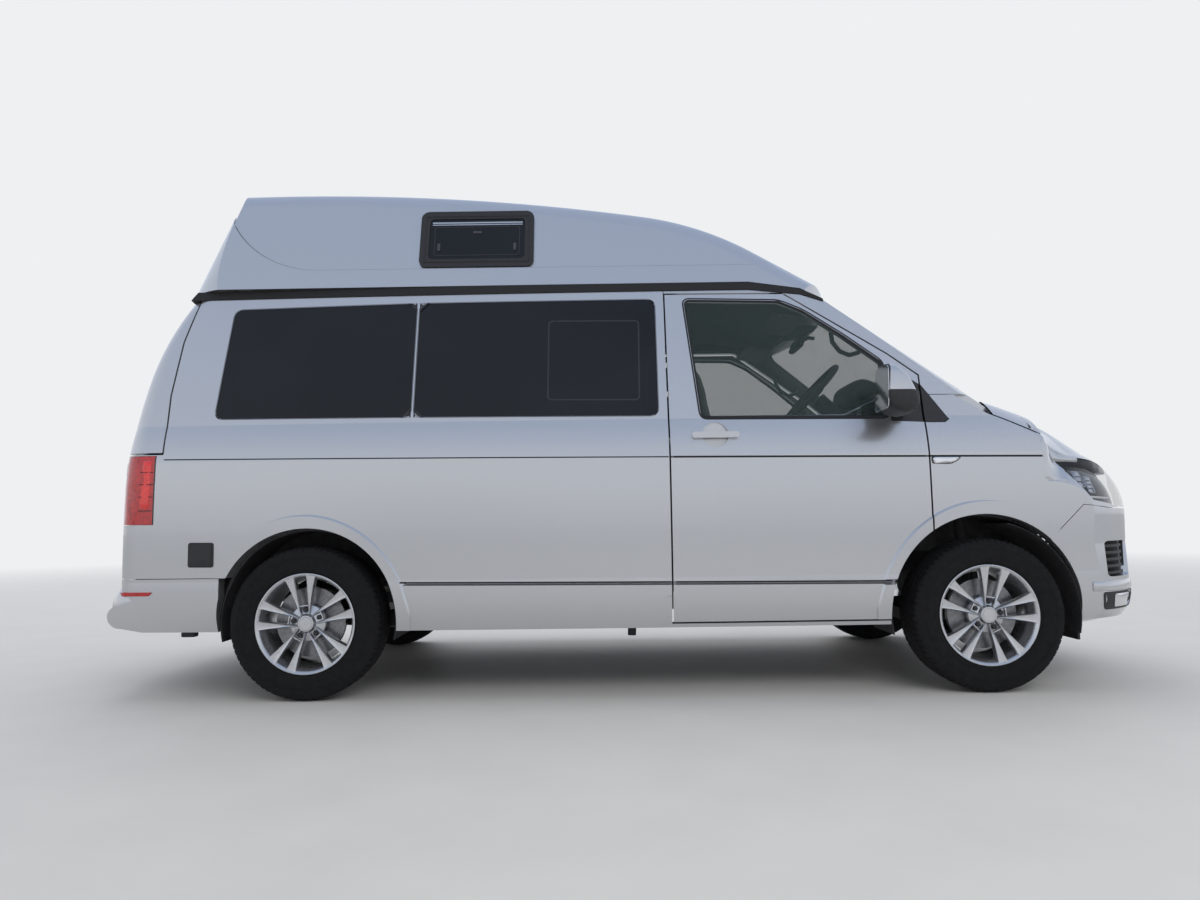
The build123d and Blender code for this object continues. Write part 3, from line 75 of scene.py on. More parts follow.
area_light("key", (2.5, -7, 5.2), (0, 0, 1.1), (7, 3), 170, (1, 0.99, 0.97))
area_light("top", (-0.5, 0.8, 6.5), (0, 0, 1), (8, 4), 130, (0.96, 0.98, 1))
area_light("back", (-1, 7, 4.5), (0, 0, 1.5), (8, 3), 150, (1, 0.98, 0.95))


def add_node(tree, kind, **values):
    """New shader node with sockets set by name."""
    node = tree.nodes.new("ShaderNode" + kind)
    for key, value in values.items():
        node.inputs[key.replace("_", " ")].default_value = value
    return node


def link(tree, *wires):
    for source, out, target, into in wires:
        tree.links.new(source.outputs[out], target.inputs[into])


# plain behind the van for the camera, a sky ramp in what shines, soft light for everything else
BACKDROP = (0.86, 0.87, 0.885, 1)
world = bpy.data.worlds.new("world")
SCENE.world = world
world.use_nodes = True
wt = world.node_tree
wt.nodes.clear()
w_out, w_path, w_mix, w_kind = [add_node(wt, kind) for kind in ("OutputWorld", "LightPath", "MixShader", "MixShader")]
w_coord, w_split, w_add, w_ramp = [add_node(wt, kind) for kind in ("TexCoord", "SeparateXYZ", "Math", "ValToRGB")]
w_sky = add_node(wt, "Background", Strength=1)
w_plain = add_node(wt, "Background", Color=BACKDROP)
w_soft = add_node(wt, "Background", Color=(0.8, 0.81, 0.83, 1), Strength=0.62)
w_noise = add_node(wt, "TexNoise", Scale=1.6)
w_add.operation = "MULTIPLY_ADD"
w_add.inputs[1].default_value = 0.35
ramp = w_ramp.color_ramp
ramp.elements[0].position, ramp.elements[0].color = 0.12, (0.6, 0.61, 0.63, 1)
ramp.elements[1].position, ramp.elements[1].color = 0.95, (0.4, 0.5, 0.7, 1)
ramp.elements.new(0.24).color = (0.9, 0.92, 0.96, 1)
link(wt, (w_coord, "Generated", w_split, 0), (w_coord, "Generated", w_noise, "Vector"), (w_noise, "Fac", w_add, 0),
     (w_split, "Z", w_add, 2), (w_add, 0, w_ramp, "Fac"), (w_ramp, "Color", w_sky, "Color"),
     (w_path, "Is Glossy Ray", w_kind, "Fac"), (w_soft, 0, w_kind, 1), (w_sky, 0, w_kind, 2),
     (w_path, "Is Camera Ray", w_mix, "Fac"), (w_kind, 0, w_mix, 1), (w_plain, 0, w_mix, 2),
     (w_mix, 0, w_out, "Surface"))


# ---- materials
def material(name, base, rough=0.5, metal=0, vary=0.06, scale=12, bump=0, bump_scale=300, coat=0, rough_vary=0.08,
             **sockets):
    """Principled material whose colour, roughness and fine relief come from noise in object space."""
    m = bpy.data.materials.new(name)
    m.use_nodes = True
    t = m.node_tree
    p = t.nodes["Principled BSDF"]
    coord = add_node(t, "TexCoord")
    noise = add_node(t, "TexNoise", Scale=scale, Detail=4)
    ramp = add_node(t, "ValToRGB")
    for end, at, tint in zip(ramp.color_ramp.elements, (0.3, 0.7), (1 - vary, 1 + vary)):
        end.position, end.color = at, (*[min(1, max(0, c * tint)) for c in base], 1)
    spread_rough = add_node(t, "MapRange", To_Min=max(0, rough - rough_vary * rough),
                            To_Max=min(1, rough + rough_vary * rough))
    link(t, (coord, "Object", noise, "Vector"), (noise, "Fac", ramp, "Fac"), (ramp, "Color", p, "Base Color"),
         (noise, "Fac", spread_rough, "Value"), (spread_rough, "Result", p, "Roughness"))
    p.inputs["Metallic"].default_value = metal
    p.inputs["Coat Weight"].default_value = coat
    p.inputs["Coat Roughness"].default_value = 0.04
    for key, value in sockets.items():
        p.inputs[key.replace("_", " ")].default_value = value
    if bump:
        fine = add_node(t, "TexNoise", Scale=bump_scale, Detail=3)
        relief = add_node(t, "Bump", Strength=bump, Distance=0.001)
        link(t, (coord, "Object", fine, "Vector"), (fine, "Fac", relief, "Height"), (relief, "Normal", p, "Normal"))
    if "Alpha" in sockets:
        m.blend_method = "BLEND"
    m["slot"] = name
    return m


PAINT = material("paint", (0.58, 0.59, 0.61), 0.3, 0.85, 0.05, 900, coat=1, rough_vary=0.15)
PRIVACY = material("privacy_glass", (0.01, 0.012, 0.015), 0.03, 0, 0.2, 3, Alpha=0.94, Specular_IOR_Level=0.35)
CAB_GLASS = material("cab_glass", (0.05, 0.075, 0.07), 0.02, 0, 0.1, 3, Alpha=0.32)
LAMP_CLEAR = material("lamp_clear", (0.1, 0.11, 0.12), 0.03, 0, 0.05, 5, Alpha=0.12)
# dark grey for the high top's step line: painted shade where the moulding steps in
STEP_SHADE = material("painted_step_shade", (0.15, 0.16, 0.17), 0.4, 0.3, 0.1, 40)
LAMP_RED = material("lamp_red", (0.48, 0.008, 0.01), 0.12, 0, 0.3, 60, coat=1)
BLACK = material("black_plastic", (0.022, 0.022, 0.024), 0.55, 0, 0.15, 60, 0.25, 900)
GLOSS = material("gloss_black", (0.008, 0.008, 0.009), 0.12, 0, 0.15, 20, coat=0.6)
RUBBER = material("seal_rubber", (0.014, 0.014, 0.015), 0.7, 0, 0.2, 80, 0.2, 700)
UNDER = material("underbody", (0.035, 0.035, 0.038), 0.8, 0, 0.3, 18, 0.5, 250)
ENGINE = material("engine_metal", (0.09, 0.09, 0.095), 0.6, 0.6, 0.3, 25, 0.4, 200)
STEEL = material("exhaust_steel", (0.28, 0.27, 0.26), 0.45, 0.9, 0.25, 20, 0.2, 300)
TANK = material("tank_plastic", (0.03, 0.03, 0.03), 0.6, 0, 0.2, 20, 0.3, 500)
CABIN = material("cabin_plastic", (0.055, 0.056, 0.06), 0.65, 0, 0.15, 30, 0.4, 1200)
FABRIC = material("upholstery", (0.085, 0.09, 0.1), 0.95, 0, 0.35, 500, 0.7, 1500, Sheen_Weight=0.4)
CABINET = material("cabinet", (0.42, 0.43, 0.44), 0.4, 0, 0.08, 14, 0.1, 400)
TYRE = material("tyre_rubber", (0.009, 0.009, 0.01), 0.85, 0, 0.35, 40, 0.35, 600, Specular_IOR_Level=0.3)
ALLOY = material("alloy", (0.6, 0.61, 0.63), 0.28, 0.9, 0.04, 60, coat=0.7)
CHROME = material("chrome", (0.75, 0.76, 0.78), 0.08, 1, 0.03, 30)
DISC = material("disc_steel", (0.25, 0.25, 0.26), 0.35, 1, 0.2, 80, 0.2, 500)
WHITE_LAMP = material("lamp_white", (0.85, 0.87, 0.9), 0.15, 0, 0.05, 30)
LINING = material("lining", (0.2, 0.2, 0.21), 0.9, 0, 0.2, 60, 0.5, 900)

SLOT_LOOK = {m["slot"]: m for m in (PAINT, PRIVACY, CAB_GLASS, LAMP_CLEAR, LAMP_RED, BLACK, RUBBER, UNDER, ENGINE,
                                     STEEL, TANK, CABIN, FABRIC, CABINET, TYRE, ALLOY)}
for row in frame["record"]["subparts"]:
    looks = NODES[row["node"]].data.materials
    looks.clear()
    looks.append(SLOT_LOOK[row["material_slot"].replace("paint_top", "paint")])
SLOT_NAME = {"painted_step_shade": "paint", "gloss_black": "black_plastic", "chrome": "alloy", "disc_steel": "underbody",
             "lamp_white": "lamp_clear", "lining": "cabin_plastic"}


# ---- mesh helpers
def joined(name, parts, look, body="body", smooth=True, sharp=None):
    """One piece from several lists of vertices and faces, riding on a body."""
    verts, faces = [], []
    for v, f in parts:
        k = len(verts)
        verts += [tuple(p) for p in v]
        faces += [tuple(i + k for i in face) for face in f]
    mesh = bpy.data.meshes.new(name)
    mesh.from_pydata(verts, [], faces)
    mesh.update()
    bm = bmesh.new()
    bm.from_mesh(mesh)
    bmesh.ops.recalc_face_normals(bm, faces=bm.faces)
    bm.to_mesh(mesh)
    bm.free()
    mesh.materials.append(look)
    for poly in mesh.polygons:
        poly.use_smooth = smooth
    if sharp is not None:
        mesh.set_sharp_from_angle(angle=radians(sharp))
    piece = bpy.data.objects.new(name, mesh)
    SCENE.collection.objects.link(piece)
    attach(piece, body)
    SLOT_NAME.get(look["slot"], look["slot"])
    return piece


def caps(rows, n):
    """Faces that close both ends of rows of n points."""
    return [tuple(range(n)), tuple((rows - 1) * n + k for k in range(n))]


def stacked(verts, rows):
    """Closed part from rows of points, with both ends capped."""
    n = len(verts) // rows
    return verts, grid(rows, n, False, True) + caps(rows, n)


def axes_at(at, *axes):
    """Matrix of three axes at a point."""
    return Matrix.Translation(at) @ Matrix(axes).transposed().to_4x4()


def rotation(degrees, axis):
    return Matrix.Rotation(radians(degrees), 4, axis)


def grid(rows, cols, close_rows=False, close_cols=False):
    faces = []
    for i in range(rows if close_rows else rows - 1):
        for j in range(cols if close_cols else cols - 1):
            a, b = i * cols + j, i * cols + (j + 1) % cols
            c, d = ((i + 1) % rows) * cols + (j + 1) % cols, ((i + 1) % rows) * cols + j
            faces.append((a, b, c, d))
    return faces


def lathe(profile, steps=96):
    """Ring of (radius, y) points turned about Y."""
    verts = []
    for i in range(steps):
        a = 2 * pi * i / steps
        verts += [(r * cos(a), y, r * sin(a)) for r, y in profile]
    return verts, grid(steps, len(profile), True)


def moved(part, matrix):
    return [matrix @ Vector(v) for v in part[0]], part[1]


def box(low, high, bevel):
    bm = bmesh.new()
    bmesh.ops.create_cube(bm, size=1)
    for v in bm.verts:
        v.co = Vector([(a + b) / 2 + c * (b - a) for a, b, c in zip(low, high, v.co)])
    bmesh.ops.bevel(bm, geom=bm.edges[:] + bm.verts[:], offset=bevel, segments=2, affect="EDGES", profile=0.6)
    bm.verts.index_update()
    out = [v.co.copy() for v in bm.verts], [tuple(v.index for v in f.verts) for f in bm.faces]
    bm.free()
    return out


def directed(points, closed):
    """Each point of a line with the line's direction there."""
    pts = [Vector(p) for p in points]
    for i, p in enumerate(pts):
        a = pts[i - 1] if closed or i else p
        b = pts[(i + 1) % len(pts)] if closed or i < len(pts) - 1 else p
        yield p, (b - a).normalized()


def tube(points, radius, sides=10, closed=False):
    """Round tube along points."""
    verts, normal, n = [], None, len(points)
    for p, d in directed(points, closed):
        if normal is None:
            normal = d.orthogonal().normalized()
        normal = (normal - normal.dot(d) * d).normalized()
        side = d.cross(normal)
        verts += [p + radius * (cos(t) * normal + sin(t) * side) for t in [2 * pi * k / sides for k in range(sides)]]
    faces = grid(n, sides, closed, True)
    if not closed:
        first, last = caps(n, sides)
        faces += [first[::-1], last]
    return verts, faces


def tree_of(names):
    bm = bmesh.new()
    for name in names:
        bm.from_mesh(NODES[name].data)
    tree = BVHTree.FromBMesh(bm)
    bm.free()
    return tree


# ---- floor: it fades into the plain background for the camera
floor_mat = material("floor", (0.74, 0.735, 0.725), 0.6, 0, 0.02, 3)
ft = floor_mat.node_tree
f_coord, f_far, f_path, f_mul, f_mix = [add_node(ft, kind) for kind in
                                        ("TexCoord", "VectorMath", "LightPath", "Math", "MixShader")]
f_far.operation, f_mul.operation = "LENGTH", "MULTIPLY"
f_range = add_node(ft, "MapRange", From_Min=3.5, From_Max=16)
f_glow = add_node(ft, "Emission", Color=BACKDROP)
link(ft, (f_coord, "Object", f_far, 0), (f_far, "Value", f_range, "Value"), (f_range, "Result", f_mul, 0),
     (f_path, "Is Camera Ray", f_mul, 1), (f_mul, 0, f_mix, "Fac"), (ft.nodes["Principled BSDF"], 0, f_mix, 1),
     (f_glow, 0, f_mix, 2), (f_mix, 0, ft.nodes["Material Output"], "Surface"))
floor_mesh = bpy.data.meshes.new("floor")
floor_mesh.from_pydata([(-60, -40, 0), (60, -40, 0), (60, 80, 0), (-60, 80, 0)], [], [(0, 1, 2, 3)])
floor_mesh.materials.append(floor_mat)
floor = bpy.data.objects.new("floor", floor_mesh)
SCENE.collection.objects.link(floor)

# ---- wheels: outer side towards -Y on the right
WHEEL_Z, WHEEL_Y, FRONT_X, REAR_X = 0.335, 0.814, 1.544, -1.456
CORNERS = (("front_right", FRONT_X, -1, 80.4), ("front_left", FRONT_X, 1, 80.4),
           ("rear_right", REAR_X, -1, 97), ("rear_left", REAR_X, 1, 97))
SPOKE_END = 0.2188
PITCHES = 74


def tyre_part():
    """Tyre with its grooves; the blocks between them are cut at the start of each pitch."""
    wall = [(0.2125, 0.088), (0.222, 0.0935), (0.232, 0.0985), (0.236, 0.1015), (0.24, 0.1005), (0.256, 0.1045),
            (0.272, 0.1062), (0.28, 0.1064), (0.2815, 0.1052), (0.292, 0.1048), (0.2935, 0.1062), (0.3, 0.1058),
            (0.31, 0.1035), (0.318, 0.1005)]
    crown = [(0.326, 0.096), (0.3305, 0.089)]
    tread_y = [0.082, 0.0745, 0.0735, 0.0665, 0.0655, 0.042, 0.041, 0.034, 0.033, 0.005, 0.004, -0.004, -0.005, -0.033,
               -0.034, -0.041, -0.042, -0.0655, -0.0665, -0.0735, -0.0745, -0.082]
    grooves = ((0.0665, 0.0735), (0.034, 0.041), (-0.004, 0.004), (-0.041, -0.034), (-0.0735, -0.0665))
    profile = wall + crown + [(None, y) for y in tread_y] + [(r, -y) for r, y in (crown[::-1] + wall[::-1])]
    verts = []
    phases = ((0, True), (0.14, True), (0.17, False), (0.97, False))
    for k in range(PITCHES):
        for phase, cut in phases:
            for r, y in profile:
                if r is None:
                    r = 0.335 - 0.0045 * (abs(y) / 0.082) ** 2.6
                    if any(a - 1e-6 <= y <= b + 1e-6 for a, b in grooves):
                        r -= 0.0075
                    elif cut and abs(y) > 0.042:
                        r -= 0.006
                    elif cut and 0.005 < abs(y) < 0.033:
                        r -= 0.0035
                elif cut and r > 0.325:
                    r -= 0.004
                a = 2 * pi * (k + phase) / PITCHES + 0.012 * sin(y * 30)
                verts.append((r * cos(a), y, r * sin(a)))
    return verts, grid(PITCHES * len(phases), len(profile), True)


def spoke_part(angle, lean):
    """One spoke as seen from outside: it widens towards the rim and its face is slightly hollow."""
    rows = ((0.036, 0.012, 0.022, 0.084), (0.06, 0.0165, 0.0285, 0.085), (0.085, 0.0183, 0.034, 0.0865),
            (0.12, 0.0205, 0.0432, 0.09), (0.16, 0.023, 0.0555, 0.0935), (0.19, 0.025, 0.066, 0.0955),
            (0.206, 0.0242, 0.0735, 0.097), (0.2165, 0.024, 0.076, 0.0975))
    verts = []
    for r, a, b, face in rows:
        mid = (a + b) / 2
        for off, y in ((a + 0.001, -face + 0.034), (a, -face + 0.006), (a + 0.0035, -face), (mid, -face + 0.0025),
                       (b - 0.0035, -face), (b, -face + 0.006), (b - 0.001, -face + 0.034)):
            fit = min(1, SPOKE_END / hypot(r, off))
            verts.append((r * fit, y, lean * off * fit))
    return moved(stacked(verts, len(rows)), rotation(-angle, "Y"))


def rim_parts(base_angle):
    parts = [lathe([(0.2112, -0.0895), (0.2195, -0.0945), (0.2195, -0.0975), (0.2165, -0.0985), (0.2105, -0.0955),
                    (0.2045, -0.088), (0.2005, -0.075), (0.194, -0.05), (0.186, -0.02), (0.186, 0.08), (0.2105, 0.093),
                    (0.2195, 0.0955), (0.2195, 0.094), (0.2112, 0.0885), (0.2, 0.07), (0.2, -0.07),
                    (0.2112, -0.0895)])]
    for pair in range(5):
        a = base_angle + 72 * pair
        web = box((0.0755, -0.0835, -0.018), (0.08, -0.066, 0.018), 0.001)
        parts += [spoke_part(a, 1), spoke_part(a, -1), moved(web, rotation(-a, "Y"))]
    parts.append(lathe([(0, -0.0895), (0.026, -0.0893), (0.0275, -0.0875), (0.03, -0.0875), (0.0315, -0.0895),
                        (0.0345, -0.089), (0.037, -0.084), (0.042, -0.074), (0.078, -0.058), (0.079, -0.03),
                        (0.05, -0.03)], 60))
    return parts


def bolts_part(base_angle):
    parts = []
    for k in range(5):
        a = radians(base_angle + 72 * k)
        at = Vector((0.06 * cos(a), 0, 0.06 * sin(a)))
        cap = lathe([(0, -0.08), (0.006, -0.08), (0.0105, -0.079), (0.0115, -0.076), (0.0115, -0.05)], 6)
        parts.append(moved(cap, Matrix.Translation(at)))
    return parts


tyre_shape = tyre_part()
for name, x, side, base in CORNERS:
    place = Matrix.Translation((x, side * WHEEL_Y, WHEEL_Z))
    if side == 1:
        place = place @ rotation(180, "Z")
    body = "wheel_" + name
    tyre = joined("tread_" + name, [moved(tyre_shape, place)], TYRE, body, sharp=28)
    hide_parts("tyre_" + name)
    rim = joined("wheel_face_" + name, [moved(p, place) for p in rim_parts(base)], ALLOY, body, sharp=32)
    joined("disc_" + name,
           [moved(lathe([(0.06, 0.008), (0.154, 0.008), (0.154, -0.016), (0.082, -0.016), (0.078, -0.045),
                         (0, -0.045)], 72), place)], DISC, body, sharp=35)
    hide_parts("rim_" + name)
    joined("bolts_" + name, [moved(p, place) for p in bolts_part(base)], BLACK, body, False)


def faces_where(mesh, test):
    """Faces of a CAD piece that pass a test, as vertices and faces."""
    verts, faces, index = [], [], {}
    for poly in mesh.polygons:
        if test(poly):
            for i in poly.vertices:
                if i not in index:
                    index[i] = len(verts)
                    verts.append(mesh.vertices[i].co.copy())
            faces.append(tuple(index[i] for i in poly.vertices))
    return verts, faces


def pushed(mesh, turn_faces, way):
    """Welds a mesh, has its faces turned and moves it along its normals."""
    bm = bmesh.new()
    bm.from_mesh(mesh)
    bmesh.ops.remove_doubles(bm, verts=bm.verts, dist=1e-5)
    bm.normal_update()
    turn_faces(bm)
    bm.normal_update()
    for v, n in [(v, v.normal.copy()) for v in bm.verts]:
        v.co += n * way
    bm.to_mesh(mesh)
    bm.free()


# ---- front lamps: clear outer lens and dark shell
def lamp_out(p):
    """Way outwards at a point of a fog lamp or a headlamp."""
    inside = Vector((2, p.y * 0.9, p.z)) if p.z < 0.6 else Vector((1.75, copysign(0.3, p.y), p.z - 0.1))
    return (p - inside).normalized()


def lamp_shell(name, look, offset):
    """Thin shell from the outer faces of the CAD lamps, moved in by the offset."""
    piece = joined(name, [faces_where(NODES["front_lamps"].data, lambda p: p.normal.dot(lamp_out(p.center)) > 0.55)],
                   look)

    def outwards(bm):
        bmesh.ops.recalc_face_normals(bm, faces=bm.faces)
        bm.normal_update()
        if sum(f.normal.dot(lamp_out(f.calc_center_median())) for f in bm.faces) < 0:
            bmesh.ops.reverse_faces(bm, faces=bm.faces)

    pushed(piece.data, outwards, -offset)
    solid = piece.modifiers.new("thick", "SOLIDIFY")
    solid.thickness, solid.offset = 0.003, -1
    return piece


lens = lamp_shell("lamp_lens", LAMP_CLEAR, 0)
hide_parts("front_lamps")
lamp_shell("lamp_housing", GLOSS, 0.045)


# ---- places on the body's surface
SKIN = tree_of(("side_panel_right", "side_panel_left", "sliding_door", "door_right", "door_left", "front_wings",
                "front_bumper", "rear_bumper", "side_glass", "cab_frame", "door_glass_right", "door_glass_left",
                "tail_lamps", "front_lamps", "high_top", "tailgate", "tailgate_glass", "bonnet", "windscreen"))


def cast(start, way, tree=SKIN):
    """First point that a ray meets, with the normal there turned towards its start."""
    hit, normal = tree.ray_cast(Vector(start), Vector(way))[:2]
    if hit is None:
        return None, None
    return hit, (-normal if normal.dot(Vector(way)) > 0 else normal)


def on_side(x, z, side, lift=0):
    """Point and outward normal on the body's side at x and z; a ray that slips through a gap is sent again."""
    best = None
    for dx, dz in ((0, 0), (0.005, 0), (-0.005, 0), (0, 0.005), (0, -0.005), (0.009, 0.009), (-0.009, -0.009)):
        hit, normal = cast((x + dx, side * 3, z + dz), (0, -side, 0))
        if hit is not None and (not best or hit.y * side > best[0].y * side + 0.02):
            best = hit, normal
        if best and best[0].y * side > 0.55:
            break
    hit, normal = best or (Vector((x, side * 0.93, z)), Vector((0, side, 0)))
    if abs(normal.y) < 0.5:
        normal = Vector((0, side, 0))
    return Vector((x, hit.y, z)) + normal * lift, normal


def side_at(side):
    """Surface of the side by x and z."""
    return lambda x, z, h=0: on_side(x, z, side, h)[0]


def end_at(sign):
    """Surface of the front (1) or the tail (-1) by y and z."""
    def at(y, z, h=0):
        best = None
        for dy, dz in ((0, 0), (0.005, 0), (-0.005, 0), (0, 0.005), (0, -0.005)):
            hit, normal = cast((3 * sign, y + dy, z + dz), (-sign, 0, 0))
            if hit is not None and (not best or hit.x * sign > best[0].x * sign + 0.03):
                best = hit, normal
        if not best:
            return Vector((2.3 * sign, y, z))
        normal = best[1] if abs(best[1].x) > 0.3 else Vector((sign, 0, 0))
        return Vector((best[0].x, y, z)) + normal * h
    return at


NOSE_HUB = (1.75, 0.35)


def corner_at(side):
    """Surface round the nose's corner by angle from straight ahead and z."""
    def at(turn, z, h=0):
        out = Vector((cos(turn), side * sin(turn), 0))
        hub = Vector((NOSE_HUB[0], side * NOSE_HUB[1], z))
        hit, normal = cast(hub + out * 2, -out)
        return hub + out * 0.6 if hit is None else hit + normal * h
    return at


def rounded(points, radius, steps=6):
    """Closed outline with its corners rounded."""
    out = []
    for i, p in enumerate(points):
        p, a, b = Vector(p), Vector(points[i - 1]), Vector(points[(i + 1) % len(points)])
        r = min(radius, (a - p).length * 0.45, (b - p).length * 0.45)
        s, e = p + (a - p).normalized() * r, p + (b - p).normalized() * r
        out += [tuple((1 - t) ** 2 * s + 2 * t * (1 - t) * p + t * t * e)
                for t in [k / steps for k in range(steps + 1)]]
    return out


def rect(x0, x1, z0, z1, radius, steps=6):
    return rounded([(x0, z0), (x1, z0), (x1, z1), (x0, z1)], radius, steps)


def dense(points, step=0.03):
    """Closed outline with points no further apart than about a step."""
    out = [points[0]]
    for a, b in zip(points, points[1:] + points[:1]):
        n = max(1, int(dist(a, b) / step))
        out += [tuple(p + (q - p) * k / n for p, q in zip(a, b)) for k in range(1, n + 1)]
    return out[:-1]


def strip(points, width, height, at, closed=True, sink=0.001):
    """Raised band along an outline on a surface."""
    verts, n = [], len(points)
    for p, d in directed(points, closed):
        across = Vector((-d.y, d.x)) * width / 2
        for q, h in ((p + across, -sink), (p + across * 0.7, height), (p - across * 0.7, height), (p - across, -sink)):
            verts.append(at(q.x, q.y, h))
    faces = grid(n, 4, closed, False)
    if not closed:
        faces += caps(n, 4)
    return verts, faces


def patch(outline, at, lift, rings=5, dome=0):
    """Filled plate on a surface inside an outline, with a skirt that goes a little below it."""
    pts = [Vector(p) for p in outline]
    n = len(pts)
    c = sum(pts, Vector((0, 0))) / n
    verts = [at(p.x, p.y, -0.002) for p in pts]
    for k in range(rings):
        t = 1 - k / rings
        verts += [at(*(c + (p - c) * t), lift + dome * (1 - t * t)) for p in pts]
    verts.append(at(c.x, c.y, lift + dome))
    last = rings * n
    faces = grid(rings + 1, n, False, True) + [(last + k, last + (k + 1) % n, len(verts) - 1) for k in range(n)]
    return verts, faces


def shrink(outline, amount):
    pts = [Vector(p) for p in outline]
    c = sum(pts, Vector((0, 0))) / len(pts)
    return [tuple(c + (p - c) * (1 - amount / max((p - c).length, 1e-4))) for p in pts]


SIDES = ((-1, "right"), (1, "left"))
DOOR_BODY = {-1: "cab_door_right", 1: "cab_door_left"}
LID = "tailgate_lid"

# ---- window rubbers, dark corners and glass lines
REAR_WINDOW = ((-1.873, 1.786), (-1.903, 1.25), (-1.004, 1.244), (-1.004, 1.8))
MID_WINDOW = ((-0.992, 1.8), (-0.992, 1.244), (0.112, 1.235), (0.112, 1.802))
LEFT_MID_WINDOW = ((-0.974, 1.798), (-0.974, 1.244), (0.096, 1.235), (0.096, 1.8))
DOOR_GLASS = ((0.246, 1.799), (0.303, 1.222), (1.148, 1.216), (1.148, 1.478), (0.983, 1.61), (0.804, 1.738),
              (0.695, 1.788))
SLIDING_PANE = ((-0.383, 1.7), (-0.386, 1.317), (0.028, 1.312), (0.034, 1.696))
for side, hand in SIDES:
    at = side_at(side)
    windows = (REAR_WINDOW, MID_WINDOW if side < 0 else LEFT_MID_WINDOW)
    joined("window_rubbers_" + hand, [strip(dense(rounded(w, 0.04)), 0.007, 0.0012, at) for w in windows], RUBBER)
    corners = [patch([(x, z), (x + dx, z), (x, z + dz)], at, 0.0006, 2)
               for x, dx in ((-1.004, -0.045), (-0.992, 0.045)) for z, dz in ((1.243, 0.045), (1.801, -0.045))]
    joined("window_corners_" + hand, corners, GLOSS, smooth=False)
    joined("sliding_pane_line_" + hand, [strip(dense(rounded(SLIDING_PANE, 0.02)), 0.007, 0.0009, at)], GLOSS)
    joined("door_glass_rubber_" + hand, [strip(dense(rounded(DOOR_GLASS, 0.03)), 0.02, 0.0015, at)], RUBBER,
           DOOR_BODY[side])

# ---- dark strips in the belt and rub grooves: painted shade at the grooves' bottoms
GROOVE_RUNS = (("body", -2.105, 0.15), ("door", 0.172, 1.292), ("body", 1.312, 1.815))
for side, hand in SIDES:
    for z0, width in ((1.0415, 0.0055), (0.4955, 0.007)):
        for owner, a, b in GROOVE_RUNS:
            name = "groove_%s_%s_%d_%d" % (owner, hand, z0 * 1000, (a + 3) * 100)
            if z0 < 0.6:
                if a > 1.3:
                    continue
                a, b = max(a, -1.035), min(b, 1.118)
            pts = [(x, z0 + 0.0055 - x * tan(radians(0.5))) for x in [a + (b - a) * k / 40 for k in range(41)]]
            # each strip's dark colour is painted shade in the groove
            joined(name, [strip(pts, width, 0.0009, side_at(side), False, 0)], RUBBER,
                   DOOR_BODY[side] if owner == "door" else "body")

# ---- step line of the high top as a strip of painted shade, ends of the wheel arches, and smooth corners of wing and bonnet beside the lamp
STEP_ARC = [radians(27 + 63 * k / 16) for k in range(17)]
STEP_LINE = [(-1.493 - 0.498 * cos(a), 2.479 - 0.498 * sin(a)) for a in STEP_ARC]
STEP_LINE += [(-1.493 + 2.083 * k / 40, 1.981) for k in range(1, 41)]
LAMP_EDGE = ((1.885, 1.03), (1.921, 0.975), (2, 0.871), (2.034, 0.834))
LEAN = ((0.9, 0.911), (0.92, 0.907), (0.94, 0.896), (0.96, 0.883), (0.98, 0.867), (1, 0.849), (1.02, 0.828),
        (1.03, 0.815), (1.05, 0.814), (1.2, 0.816))
BONNET_EDGE = ((1.79, 0.868, 1.166), (1.82, 0.861, 1.152), (1.85, 0.844, 1.125), (1.885, 0.818, 1.09),
               (1.92, 0.807, 1.064), (1.96, 0.799, 1.045), (2, 0.785, 1.034), (2.05, 0.762, 1.029))
BROW_LOW = ((1.88, 0.822), (1.95, 0.817), (2, 0.801), (2.05, 0.764))
CROWN_REAR = ((0, 0), (0.23, 0.1), (0.4, 0.18), (0.52, 0.24), (0.69, 0.41), (0.81, 0.6), (0.925, 0.85), (1, 1))
CROWN_FRONT = ((0, 0), (0.32, 0.21), (0.56, 0.5), (0.73, 0.72), (0.89, 0.905), (1, 1))


def along(table, x, column=1):
    """Value in a table's column at x."""
    for a, b in zip(table, table[1:]):
        if x <= b[0]:
            break
    return a[column] + (b[column] - a[column]) * (x - a[0]) / (b[0] - a[0])


BONNET_TREE = tree_of(("bonnet",))


def bonnet_edge(x):
    """Edge of the smooth bonnet corner at x, as distance from the middle and z."""
    return along(BONNET_EDGE, x), along(BONNET_EDGE, x, 2)


def flip(part, side):
    """Part of the right side put on a side."""
    return [(x, y * -side, z) for x, y, z in part[0]], [f[::-side] for f in part[1]]


WING_TOP_X, SEAM_GAP = 1.885, 0.007
SHOULDER, WING_FOOT = 0.06, 0.915
CROWN_X, CROWN_LONG, CROWN_Y = 1.79, 0.26, 0.515


def eased(t):
    return t * t * (3 - 2 * t)


def wing_corner(columns=17, rows=15):
    """Right wing from its flat side to the lamp's rear edge and up to the bonnet; its edges are sunk."""
    verts = []
    for i in range(columns):
        x = 1.812 + 0.113 * i / (columns - 1)
        t = eased(min(1, max(0, x - 1.83) / 0.08))
        wide, high = bonnet_edge(x)
        high = along(LAMP_EDGE, x) if x > WING_TOP_X else high - SEAM_GAP
        for k in range(rows):
            z = WING_FOOT + (high - WING_FOOT) * k / (rows - 1)
            wall = -on_side(min(x, 1.822), min(z, 1.075), -1)[0].y
            y = wall + (along(LEAN, z) - wall) * t
            if x <= WING_TOP_X and z > high - SHOULDER:
                u = (z - high + SHOULDER) / SHOULDER
                y += (wide + 0.002 - y) * u * u
            verts.append((x, -y + (0.003 if i == 0 or k == 0 else -0.0008), z))
    return verts, grid(columns, rows)


